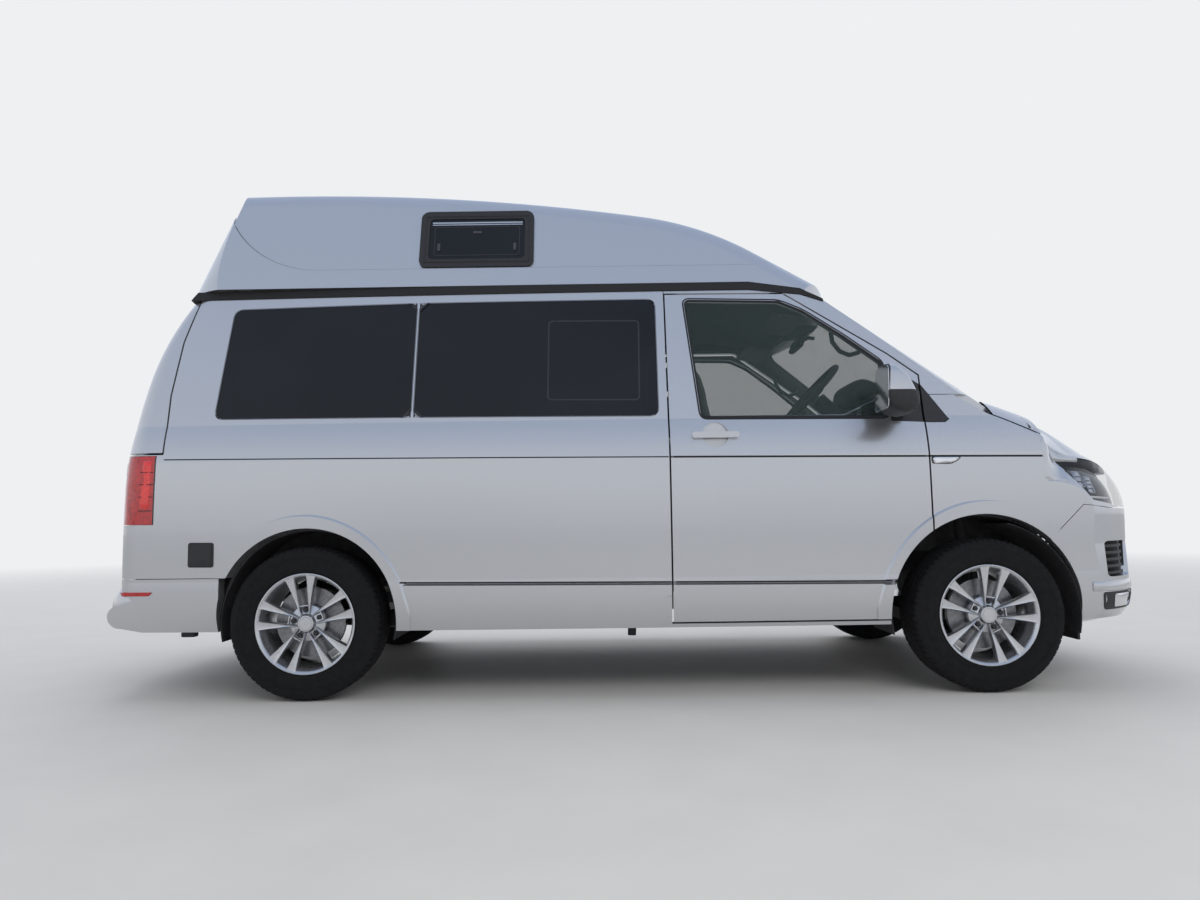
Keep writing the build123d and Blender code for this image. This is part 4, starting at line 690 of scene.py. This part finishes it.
def bonnet_corner(columns=27, rows=20):
    """Right front corner of the bonnet, from its middle part down to its edge, with both edges sunk."""
    verts = []
    for i in range(columns):
        x = CROWN_X + 0.01 * i
        t = eased((x - CROWN_X) / CROWN_LONG)
        wide, high = bonnet_edge(x)
        top = BONNET_TREE.ray_cast(Vector((x, -CROWN_Y, 3)), Vector((0, 0, -1)))[0].z
        verts.append((x, -wide, high - 0.012))
        for k in range(rows + 1):
            v = 1 - k / rows
            drop = along(CROWN_REAR, v) * (1 - t) + along(CROWN_FRONT, v) * t
            verts.append((x, -(CROWN_Y + (wide - CROWN_Y) * v), top - drop * (top - high) + 0.0014))
        verts.append((x, -CROWN_Y + 0.002, top - 0.004))
    return verts, grid(columns, rows + 3)


def lamp_brow(columns=18):
    """Right strip between the lamp's top and the bonnet's edge."""
    verts = []
    for k in range(columns):
        x = 1.88 + 0.01 * k
        wide, high = bonnet_edge(x)
        low = along(BROW_LOW, x)
        verts += [(x, -y, z)
                  for y, z in ((low - 0.004, 1.01), (low + 0.001, 1.021),
                               ((low + wide) / 2 + 0.003, (1.021 + high - 0.005) / 2), (wide + 0.001, high - 0.005),
                               (wide - 0.012, high - 0.008))]
    return verts, grid(columns, 5)


wing_part, crown_part, brow_part = wing_corner(), bonnet_corner(), lamp_brow()
for side, hand in SIDES:
    # painted shade: a dark strip along the high top's step line
    joined("high_top_step_shade_" + hand, [strip(STEP_LINE, 0.006, 0.0006, side_at(side), False)], STEP_SHADE)
    joined("wing_corner_" + hand, [flip(wing_part, side)], PAINT)
    joined("lamp_brow_" + hand, [flip(brow_part, side)], PAINT)
    joined("bonnet_corner_" + hand, [flip(crown_part, side)], PAINT, "bonnet_lid")
    # dark sheets at the ends of the wheel arches: partly the arch liner, partly painted shade where the inside of the
    # arch lies in shadow; the front one reaches further to cover a glint where bumper and wing meet
    ends = []
    for hub, r, a0, a1, wide in ((REAR_X, 0.386, -12, 22, 0.868), (REAR_X, 0.386, 158, 192, 0.868),
            (FRONT_X, 0.412, -12, 75, 0.89), (FRONT_X, 0.412, 158, 192, 0.868)):
        arc = [radians(a0 + (a1 - a0) * k / 16) for k in range(17)]
        ends.append(([(hub + (r + t) * cos(a), side * y, WHEEL_Z + (r + t) * sin(a)) for a in arc
                      for t, y in ((0, 0.6), (0, wide), (0.003, wide), (0.003, 0.6))], grid(17, 4, False, True)))
    joined("arch_liner_shade_" + hand, ends, UNDER, sharp=40)

# ---- side details: wing repeaters, rear reflectors and the hook-up flap
REPEATER = ((1.312, 1.032), (1.316, 1.001), (1.4, 0.999), (1.432, 1.014), (1.448, 1.031))
FLAP = ((-1.977, 0.695), (-1.978, 0.586), (-1.864, 0.585), (-1.864, 0.694))
FLAP_LID = ((-1.97, 0.688), (-1.97, 0.594), (-1.871, 0.593), (-1.871, 0.687))
REFLECTOR = ((-2.29, 0.479), (-2.28, 0.462), (-2.152, 0.462), (-2.136, 0.479))
for side, hand in SIDES:
    at = side_at(side)
    rim_line = rounded(REPEATER, 0.01, 4)
    joined("repeater_frame_" + hand, [patch(rim_line, at, 0.002)], GLOSS)
    joined("repeater_" + hand, [patch(shrink(rim_line, 0.007), at, 0.0034, dome=0.001)], CHROME)

    def on_bumper(x, z, h=0):
        wide = max(abs(on_side(x, level, side)[0].y) for level in (0.44, 0.455, 0.47, 0.485))
        return Vector((x, side * (wide + h), z))

    joined("rear_reflector_" + hand, [patch(dense(rounded(REFLECTOR, 0.008, 4), 0.01), on_bumper, 0.0018)], LAMP_RED)
for name, outline, lift, dome in (("frame", FLAP, 0.004, 0.001), ("lid", FLAP_LID, 0.0065, 0.0035)):
    joined("hook_up_" + name, [patch(rounded(outline, 0.012, 5), side_at(-1), lift, dome=dome)], BLACK, sharp=40)

# ---- mirrors: cap, lower half, glass and the sail with its arm
HEAD = ((1.204, 1.303), (1.19, 1.335), (1.169, 1.377), (1.124, 1.417), (1.099, 1.428), (1.079, 1.43), (1.073, 1.37),
        (1.068, 1.303), (1.066, 1.262), (1.071, 1.232), (1.106, 1.21), (1.149, 1.2), (1.197, 1.213), (1.218, 1.245),
        (1.217, 1.277), (1.204, 1.303))
CAP_ROWS = 8
for side, hand in SIDES:
    def head_part(outline, grow):
        verts = []
        for k in range(17):
            t = copysign(1 - (1 - abs(k / 8 - 1)) ** 1.6, k / 8 - 1)
            s = max(0.02, (1 - abs(t) ** 5) ** 0.2)
            y = 1.0465 + t * (0.1005 - 0.002 + grow)
            taper = 1 - 0.05 * (t + 1)
            for x, z in outline:
                verts.append((1.068 + (x - 1.068) * s * taper * (1 + grow * 8), side * y,
                              1.303 + (z - 1.303) * s * taper * (1 + grow * 8)))
        return verts, grid(17, len(outline))

    cap = joined("mirror_cap_" + hand, [head_part(HEAD[:CAP_ROWS], 0)], PAINT, DOOR_BODY[side], sharp=60)
    joined("mirror_lower_" + hand, [head_part(HEAD[CAP_ROWS - 1:], 0.0015)], BLACK, DOOR_BODY[side], sharp=60)
    glass_line = rounded([(0.958, 1.222), (1.134, 1.228), (1.128, 1.412), (0.962, 1.418)], 0.03, 5)
    glass_verts = [(1.0655 + (z - 1.25) * 0.04, side * y, z) for y, z in glass_line]
    glass_verts += [(x - 0.003, y, z) for x, y, z in glass_verts]
    joined("mirror_glass_" + hand, [stacked(glass_verts, 2)], CHROME, DOOR_BODY[side], False)
    joined("mirror_sail_" + hand, [faces_where(NODES["mirror_" + hand].data, lambda p: abs(p.center.y) < 0.944)],
           BLACK, DOOR_BODY[side], sharp=30)
    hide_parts("mirror_" + hand)

# ---- nose: reflectors and a light bar behind each lens, fog lamps, vent posts and the bumper's ledge
LAMP_TREE = tree_of(("front_lamps",))


def lamp_frame(px, py, depth):
    """Frame a little behind the lens where the photograph shows the piece: across, up and outwards."""
    way = (ahead + (px - PHOTO_MID[0]) / FOCAL_PX * r_axis - (py - PHOTO_MID[1]) / FOCAL_PX * u_axis).normalized()
    hit, normal = cast(CAMERA_AT, way, LAMP_TREE)
    upright = (Vector((0, 0, 1)) - normal * normal.z).normalized()
    return axes_at(hit - normal * depth, upright.cross(normal), upright, normal)


FOG_BITS = (("frame", ((33, 0.35), (60, 0.35), (61, 0.427), (33, 0.427)), 0.003, 0, BLACK),
            ("glass", ((39.5, 0.361), (54.5, 0.361), (55, 0.417), (39.5, 0.417)), 0.006, 0.003, CHROME))
reflectors = []
for px, py, wide, tall, rows in ((1081.6, 476.5, 0.03, 0.074, 3), (1092.8, 482.5, 0.03, 0.07, 4)):
    place = lamp_frame(px, py, 0.022)
    cells = [box((-wide / 2, -tall / 2 + tall * k / rows + 0.0015, -0.012),
                 (wide / 2, -tall / 2 + tall * (k + 1) / rows - 0.0015, -0.002 + 0.003 * k), 0.003)
             for k in range(rows)]
    reflectors += [moved(p, place) for p in cells]
    half, high = wide / 2 + 0.004, tall / 2 + 0.004
    edge = [(x, y, 0) for x, y in rect(-half, half, -high, high, 0.008, 3)]
    reflectors.append(moved(tube(edge, 0.0025, 8, True), place))
bar_points = [lamp_frame(px, 496 + (px - 1091) * 0.07, 0.014).translation for px in range(1091, 1113, 3)]
bar = tube(bar_points, 0.0052, 10)
for side, hand in SIDES:
    joined("lamp_reflectors_" + hand, [flip(p, side) for p in reflectors], CHROME, sharp=40)
    joined("lamp_bar_" + hand, [flip(bar, side)], WHITE_LAMP)
    round_nose = corner_at(side)
    for name, outline, lift, dome, look in FOG_BITS:
        line = dense(rounded([(radians(a), z) for a, z in outline], 0.02, 5), 0.02)
        joined("fog_%s_%s" % (name, hand), [patch(line, round_nose, lift, dome=dome)], look, sharp=40)
    post = []
    for degrees, z in ((33.4, 0.531), (29.6, 0.654)):
        for turn, reach in ((-1.3, 0.612), (-1.3, 0.6295), (1.3, 0.6295), (1.3, 0.612)):
            a = radians(degrees + turn)
            post.append((NOSE_HUB[0] + reach * cos(a), side * (NOSE_HUB[1] + reach * sin(a)), z))
    joined("vent_post_" + hand, [stacked(post, 2)], BLACK, smooth=False)
    line = [(radians(a), 0.452) for a in range(14, 68, 3)]
    joined("bumper_ledge_" + hand, [strip(line, 0.045, 0.006, round_nose, False)], PAINT, sharp=50)

# ---- tail lamps: brighter segments, dark edge, ribs and reversing lamps
LAMP_BRIGHT = material("lamp_bright", (0.8, 0.02, 0.015), 0.1, 0, 0.25, 90, coat=1)
SLOT_NAME["lamp_bright"] = "lamp_red"
for side, hand in SIDES:
    at = side_at(side)
    joined("tail_lamp_bright_" + hand,
           [patch(rounded([(-2.198, 1.062), (-2.206, 0.845), (-2.165, 0.845), (-2.16, 1.062)], 0.01, 3), at, 0.0012)],
           LAMP_BRIGHT)
    joined("tail_lamp_edge_" + hand,
           [strip([(-2.1435, 0.778 + 0.0125 * k) for k in range(25)], 0.006, 0.0012, at, False)], GLOSS)
    joined("tail_lamp_ribs_" + hand,
           [strip([(-2.15 - 0.006 * k, z) for k in range(11)], 0.004, 0.001, at, False)
            for z in (0.838, 0.9, 0.955, 1.01)], RUBBER)
    rear = end_at(-1)
    joined("reversing_lamp_" + hand,
           [patch(rounded([(side * 0.775, 1.055), (side * 0.775, 1), (side * 0.84, 1), (side * 0.84, 1.055)], 0.008,
                          3), rear, 0.0015)], WHITE_LAMP)

# ---- tail: glass rubber, handle strip, grip, high lamp and wiper
REAR_GLASS = ((-0.64, 1.19), (0.64, 1.19), (0.575, 1.745), (-0.575, 1.745))
rear = end_at(-1)
joined("rear_glass_rubber", [strip(dense(rounded(REAR_GLASS, 0.05)), 0.018, 0.0018, rear)], RUBBER, LID)
joined("tailgate_strip", [patch(rect(-0.3, 0.3, 0.985, 1.02, 0.012, 4), rear, 0.01, dome=0.004)], GLOSS, LID, sharp=40)
joined("tailgate_grip", [patch(rect(-0.075, 0.075, 0.93, 0.972, 0.014, 5), rear, 0.009, dome=0.004)], PAINT, LID,
       sharp=40)
joined("high_lamp", [patch(rect(-0.17, 0.17, 1.772, 1.794, 0.01, 4), rear, 0.004)], LAMP_RED, LID)
pivot = rear(0, 1.155, 0.012)
joined("rear_wiper_arm",
       [tube([pivot, rear(0.05, 1.19, 0.022), rear(0.2, 1.222, 0.018), rear(0.4, 1.262, 0.012)], 0.006),
        moved(lathe([(0, -0.008), (0.014, -0.008), (0.018, 0), (0.018, 0.012)], 24),
              Matrix.Translation(pivot) @ rotation(-90, "Z"))], BLACK, LID, sharp=40)
joined("rear_wiper_blade", [tube([rear(0.1 + 0.05 * k, 1.215 + 0.0115 * k, 0.007) for k in range(11)], 0.0045, 6)],
       RUBBER, LID)

# ---- front wipers
front = end_at(1)
for number, (y0, y1) in enumerate(((-0.62, -0.06), (0.02, 0.6))):
    foot = front(y1 + 0.02, 1.372, 0.012)
    joined("wiper_%d" % number,
           [tube([foot] + [front(y1 - (y1 - y0) * k / 8 * 0.55, 1.385 + 0.004 * k, 0.014) for k in range(1, 9)],
                 0.0055)], BLACK)
    joined("wiper_blade_%d" % number,
           [tube([front(y0 + (y1 - y0) * k / 10, 1.392 + 0.02 * sin(k * 0.3), 0.006) for k in range(11)], 0.0042, 6)],
           RUBBER)

# ---- roof windows: blind rail, inner frame and latches on the panes
def roof_place(u, v, h, side):
    """Point on one roof window's plane: along it, up it and outwards."""
    lean = radians(15.2)
    y = 0.734 - (2.133 - 1.884) * tan(lean)
    return (-0.7345 - side * u, side * (y - v * sin(lean) + h * cos(lean)), 2.133 + v * cos(lean) + h * sin(lean))


def four_bars(u, v0, v1, wide, high):
    """Boxes of a narrow frame that reaches u both ways and from v0 to v1."""
    ends = (-u, u, v1 - wide, v1), (-u, u, v0, v0 + wide), (-u, wide - u, v0, v1), (u - wide, u, v0, v1)
    return [(*end, high, 0.001) for end in ends]


# name, look, low side and boxes; each box is along from and to, up from and to, high side and corner
ROOF_BITS = (("pane_frame", BLACK, 0.0085, four_bars(0.207, -0.093, 0.0705, 0.0045, 0.01)),
             ("blind_rail", ALLOY, 0.0085, ((-0.219, 0.219, 0.088, 0.0955, 0.0115, 0.003),
                                            (-0.219, 0.219, 0.0785, 0.0835, 0.0105, 0.003))),
             ("latches", ENGINE, 0.0085, ((-0.19, -0.176, -0.067, -0.025, 0.0125, 0.006),
                                          (-0.02, 0.022, 0.03, 0.042, 0.0125, 0.004),
                                          (0.176, 0.19, -0.067, -0.025, 0.0125, 0.006))),
             ("frame_ridge", BLACK, 0.012, four_bars(0.252, -0.131, 0.131, 0.005, 0.015)))
for side, hand in SIDES:
    for name, look, h0, boxes in ROOF_BITS:
        parts = []
        for u0, u1, v0, v1, h1, r in boxes:
            line = rect(u0, u1, v0, v1, r, 3)
            parts.append(stacked([roof_place(u, v, h, side) for h in (h0, h1) for u, v in line], 2))
        joined("roof_%s_%s" % (name, hand), parts, look, smooth=False)

# ---- linings on the inside of the shell
LINED = (("cab_frame", "body"), ("door_right", "cab_door_right"), ("door_left", "cab_door_left"),
         ("side_panel_right", "body"), ("side_panel_left", "body"), ("sliding_door", "body"), ("tailgate", LID),
         ("high_top", "body"))


def to_room(c):
    """Way from a point on the shell to the middle of the room."""
    return (Vector((min(max(c.x, -1.7), 0.8), 0, min(max(c.z, 0.9), 1.7))) - c).normalized()


def inwards(bm):
    for f in bm.faces:
        if f.normal.dot(to_room(f.calc_center_median())) < 0:
            f.normal_flip()


for name, body in LINED:
    inner = faces_where(NODES[name].data, lambda poly: poly.normal.dot(to_room(poly.center)) > 0.35)
    pushed(joined("lining_" + name, [inner], LINING, body, sharp=40).data, inwards, 0.0015)

# ---- cab: dash pad, hood, vents, screen, console, gear lever, mirror, handles, sill trim and visors
def swept(section, y0, y1, steps=24, round_end=0.03):
    """Side section carried across the cab, drawn in a little at both ends."""
    c = Vector((sum(p[0] for p in section) / len(section), sum(p[1] for p in section) / len(section)))
    verts = []
    for k in range(steps + 1):
        y = y0 + (y1 - y0) * k / steps
        near = min(y - y0, y1 - y) / round_end
        s = 1 if near >= 1 else 0.72 + 0.28 * sqrt(max(0, 1 - (1 - near) ** 2))
        verts += [(c.x + (x - c.x) * s, y, c.y + (z - c.y) * s) for x, z in section]
    return stacked(verts, steps + 1)


PAD = rounded([(1.085, 1.155), (1.082, 1.285), (1.15, 1.352), (1.29, 1.38), (1.42, 1.35), (1.6, 1.285), (1.6, 1.262),
               (1.24, 1.19)], 0.03, 5)
joined("dash_pad", [swept(PAD, -0.7, 0.7, 40)], CABIN, sharp=50)
HOOD = rounded([(1.065, 1.33), (1.075, 1.412), (1.105, 1.442), (1.15, 1.452), (1.215, 1.425), (1.29, 1.378),
                (1.2, 1.33)], 0.02, 5)
joined("instrument_hood", [swept(HOOD, -0.575, -0.225, 24, 0.08)], CABIN, sharp=50)
vents = []
for y in (-0.655, -0.145, 0.145, 0.6):
    vent = lathe([(0, -0.006), (0.03, -0.006), (0.033, -0.012), (0.04, -0.012), (0.043, -0.002), (0.043, 0.01)], 28)
    vents.append(moved(vent, Matrix.Translation((1.08, y, 1.245)) @ rotation(-90, "Z")))
joined("dash_vents", vents, GLOSS, sharp=40)
joined("dash_screen", [box((1.062, -0.105, 1.055), (1.082, 0.105, 1.175), 0.006)], GLOSS, sharp=40)
joined("console",
       [swept(rounded([(0.93, 0.7), (0.95, 1), (1.06, 1.06), (1.12, 1.06), (1.12, 0.7)], 0.03, 4), -0.13, 0.13, 10,
              0.03)], CABIN, sharp=50)
joined("gear_lever",
       [tube([(0.965, 0, 0.99), (0.955, 0, 1.05), (0.95, 0, 1.1)], 0.009),
        moved(lathe([(0, -0.05), (0.018, -0.045), (0.026, -0.022), (0.022, 0.004), (0, 0.01)], 24),
              Matrix.Translation((0.948, 0, 1.095)) @ rotation(90, "X"))], CABIN, sharp=50)
joined("inner_mirror",
       [swept(rounded([(0.93, 1.705), (0.965, 1.7), (0.985, 1.762), (0.95, 1.768)], 0.012, 4), -0.125, 0.125, 16,
              0.05), tube([(0.965, 0, 1.745), (1.02, 0, 1.775), (1.055, 0, 1.77)], 0.011)], BLACK, sharp=50)
for side, hand in SIDES:
    loop = [(0.966, side * 0.655, 1.66), (0.972, side * 0.648, 1.612), (1.005, side * 0.65, 1.566),
            (1.05, side * 0.655, 1.545), (1.092, side * 0.665, 1.556), (1.11, side * 0.672, 1.58)]
    joined("grab_handle_" + hand, [tube(loop, 0.011, 12)], CABIN)
    joined("door_sill_trim_" + hand,
           [tube([(0.33, side * 0.835, 1.232), (0.74, side * 0.835, 1.232), (0.96, side * 0.834, 1.233),
                  (1.12, side * 0.815, 1.305)], 0.006, 10)], CHROME, DOOR_BODY[side])
    joined("sun_visor_" + hand,
           [swept(rounded([(0.7, 1.765), (0.86, 1.742), (0.87, 1.752), (0.71, 1.78)], 0.006, 3), side * 0.38 - 0.2,
                  side * 0.38 + 0.2, 12, 0.03)], LINING, sharp=50)

# ---- steering wheel: round rim, three spokes, hub and column shroud
hub_at = Vector((0.925, -0.4, 1.398))
axis = Vector((-0.735, 0, 0.679)).normalized()
across_y = Vector((0, -1, 0))
wheel_place = axes_at(hub_at, across_y, axis.cross(across_y), axis)
grip = tube([(0.18 * cos(2 * pi * k / 72), 0.18 * sin(2 * pi * k / 72), 0) for k in range(72)], 0.0135, 14, True)
HUB_LINE = rounded([(-0.075, -0.048), (0.075, -0.048), (0.06, 0.058), (-0.06, 0.058)], 0.03, 6)
hub_pad = [(x, y, z) for z, s in ((-0.03, 0.82), (0.002, 1), (0.012, 0.93), (0.017, 0.72), (0.018, 0.3))
           for x, y in shrink(HUB_LINE, (1 - s) * 0.06)]
spoke = box((0.05, -0.02, -0.008), (0.175, 0.02, 0.004), 0.004)
spokes = [moved(spoke, rotation(a, "Z")) for a in (0, 180, 270)]
wheel = joined("steering_grip", [moved(p, wheel_place) for p in [grip, stacked(hub_pad, 5)] + spokes], CABIN,
               "steering", sharp=50)
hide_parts("steering_wheel")
column = tube([hub_at - axis * 0.045, hub_at - axis * 0.12, hub_at - axis * 0.24], 0.04, 20)
joined("column_shroud", [column], CABIN, sharp=50)


# ---- padded seats
CLOTH_FRAMES, CLOTH_MOVE = 20, 0.012


def baked(piece):
    """Puts a piece's mesh with its modifiers in the place of the mesh."""
    mesh = bpy.data.meshes.new_from_object(piece.evaluated_get(bpy.context.evaluated_depsgraph_get()))
    piece.modifiers.clear()
    piece.data = mesh
    return mesh


def pad(name, outline, y0, y1, fill, channels):
    """Stuffed cushion from a side outline: swollen by cloth pressure, with sewn channels pressed in."""
    part = swept(rounded(shrink(outline, 0.01), 0.035, 6), y0 + 0.01, y1 - 0.01, 10, 0.04)
    piece = joined(name, [part], FABRIC)
    mod = piece.modifiers.new("remesh", "REMESH")
    mod.mode, mod.voxel_size = "VOXEL", 0.012
    piece.modifiers.new("smooth", "SMOOTH").iterations = 6
    mesh = baked(piece)
    cloth = piece.modifiers.new("cloth", "CLOTH")
    rules = cloth.settings
    rules.use_pressure, rules.uniform_pressure_force, rules.quality = True, 4, 4
    rules.effector_weights.gravity = 0
    cloth.point_cache.frame_end = CLOTH_FRAMES
    start = [v.co.copy() for v in mesh.vertices]
    for f in range(1, CLOTH_FRAMES + 1):
        SCENE.frame_set(f)
    mesh = baked(piece)
    for v, s in zip(mesh.vertices, start):
        d = v.co - s
        if d.length > CLOTH_MOVE:
            v.co = s + d.normalized() * CLOTH_MOVE
    SCENE.frame_set(1)
    mesh.update()
    for v, n in [(v, v.normal.copy()) for v in mesh.vertices]:
        v.co -= n * max([0] + [depth * exp(-((v.co[i] - at) / width) ** 2) for i, at, width, depth in channels])
    mesh.materials.clear()
    mesh.materials.append(FABRIC)
    for poly in mesh.polygons:
        poly.use_smooth = True
    return piece


SQUAB = ((0.39, 0.866), (0.895, 0.88), (0.895, 0.938), (0.48, 0.985), (0.4, 0.96))
BACK = ((0.345, 0.96), (0.455, 0.985), (0.405, 1.2), (0.325, 1.52), (0.25, 1.535), (0.236, 1.49), (0.3, 1.2))
HEAD_PAD = ((0.322, 1.545), (0.3, 1.685), (0.215, 1.685), (0.232, 1.545))
BENCH_SQUAB = ((-0.572, 0.8), (-0.562, 0.925), (-0.61, 0.965), (-1.055, 0.96), (-1.105, 0.94), (-1.105, 0.8))
BENCH_BACK = ((-1.07, 0.975), (-1.17, 0.87), (-1.25, 1.2), (-1.325, 1.462), (-1.235, 1.478), (-1.15, 1.24))
for side, hand in SIDES:
    y = side * 0.4
    along_seams = [(1, y + dy, 0.008, 0.007) for dy in (-0.15, 0.15)]
    for label, outline, half, fill, channels in (
            ("squab", SQUAB, 0.245, 0.85, along_seams + [(0, 0.62, 0.006, 0.005)]),
            ("back", BACK, 0.24, 0.85, along_seams + [(2, 1.26, 0.006, 0.005)]),
            ("head", HEAD_PAD, 0.13, 0.95, ())):
        pad("seat_%s_%s" % (label, hand), outline, y - half, y + half, fill, channels)
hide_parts("cab_seats")
bench = pad("bench_squab", BENCH_SQUAB, -0.415, 0.555, 0.9, ((1, 0.07, 0.01, 0.009), (0, -0.82, 0.008, 0.006)))
pad("bench_back", BENCH_BACK, -0.415, 0.555, 0.9, ((1, 0.07, 0.01, 0.009), (2, 1.24, 0.008, 0.006)))
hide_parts("bench_seat")
frames = []
for side, hand in SIDES:
    y = side * 0.4
    frames += [box((0.425, y - 0.205, 0.57), (0.855, y + 0.205, 0.845), 0.012),
               box((0.385, y - 0.225, 0.845), (0.885, y + 0.225, 0.868), 0.006)]
    frames += [tube([(0.27, y + dy, 1.47), (0.275, y + dy, 1.6)], 0.006) for dy in (-0.05, 0.05)]
    frames.append(tube([(0.34, y - 0.255, 0.93), (0.4, y - 0.256, 1)], 0.02, 12))
frames += [box((-1.16, -0.4, 0.57), (-0.62, 0.54, 0.8), 0.012),
           tube([(-1.16, -0.38, 0.78), (-1.34, -0.38, 1.45), (-1.34, 0.52, 1.45), (-1.16, 0.52, 0.78)], 0.01)]
joined("seat_frames", frames, CABIN, sharp=40)

# ---- kitchen fronts: doors, knobs and a hob lid
DOOR_X = [-1.03 + k * 0.322 for k in range(3)]
fronts = [box((x + 0.004, -0.4515, z0), (x + 0.318, -0.444, z1), 0.002) for x in DOOR_X
          for z0, z1 in ((0.632, 0.95), (0.958, 1.112))]
joined("kitchen_fronts", fronts, CABINET, smooth=False)
knobs = [moved(lathe([(0, -0.014), (0.009, -0.013), (0.011, -0.008), (0.007, 0)], 18),
               Matrix.Translation((x + 0.16, -0.4435, z)) @ rotation(180, "Z")) for x in DOOR_X for z in (0.92, 1.04)]
joined("kitchen_knobs", knobs, CHROME, sharp=40)
joined("hob_lid", [box((-0.95, -0.8, 1.15), (-0.48, -0.47, 1.158), 0.003)], GLOSS, smooth=False)

# ---- below: coil springs and dampers, pipes, the waste outlet, flaps and rear brackets
coils = []
for side, hand in SIDES:
    turns = [(-1.4 + 0.056 * cos(a), side * 0.536 + 0.056 * sin(a), 0.355 + 0.17 * k / 96)
             for k, a in [(k, k * 2 * pi / 16) for k in range(97)]]
    coils.append(tube(turns, 0.0065, 8))
    coils.append(tube([(-1.49, side * 0.6, 0.36), (-1.53, side * 0.585, 0.56)], 0.024, 16))
joined("rear_springs", coils, UNDER, sharp=50)
joined("fuel_pipes",
       [tube([(-0.9, -0.395, 0.528), (0.2, -0.4, 0.528), (1, -0.398, 0.528)], 0.005, 8),
        tube([(-1.6, 0.395, 0.528), (0.2, 0.39, 0.528), (1, 0.395, 0.528)], 0.004, 8)], STEEL)
joined("waste_outlet", [tube([(-0.01, -0.56, 0.534), (-0.01, -0.56, 0.3), (-0.012, -0.56, 0.222)], 0.02, 18)], BLACK,
       sharp=50)
joined("front_flaps",
       [box((1.985, s * 0.72 - 0.075, 0.207), (1.999, s * 0.72 + 0.075, 0.345), 0.004) for s in (-1, 1)], RUBBER,
       sharp=40)
joined("rear_brackets", [box((-2.094, s * 0.7 - 0.02, 0.258), (-2.03, s * 0.7 + 0.02, 0.312), 0.006) for s in (-1, 1)],
       BLACK, sharp=40)

SCENE.view_layers[0].update()
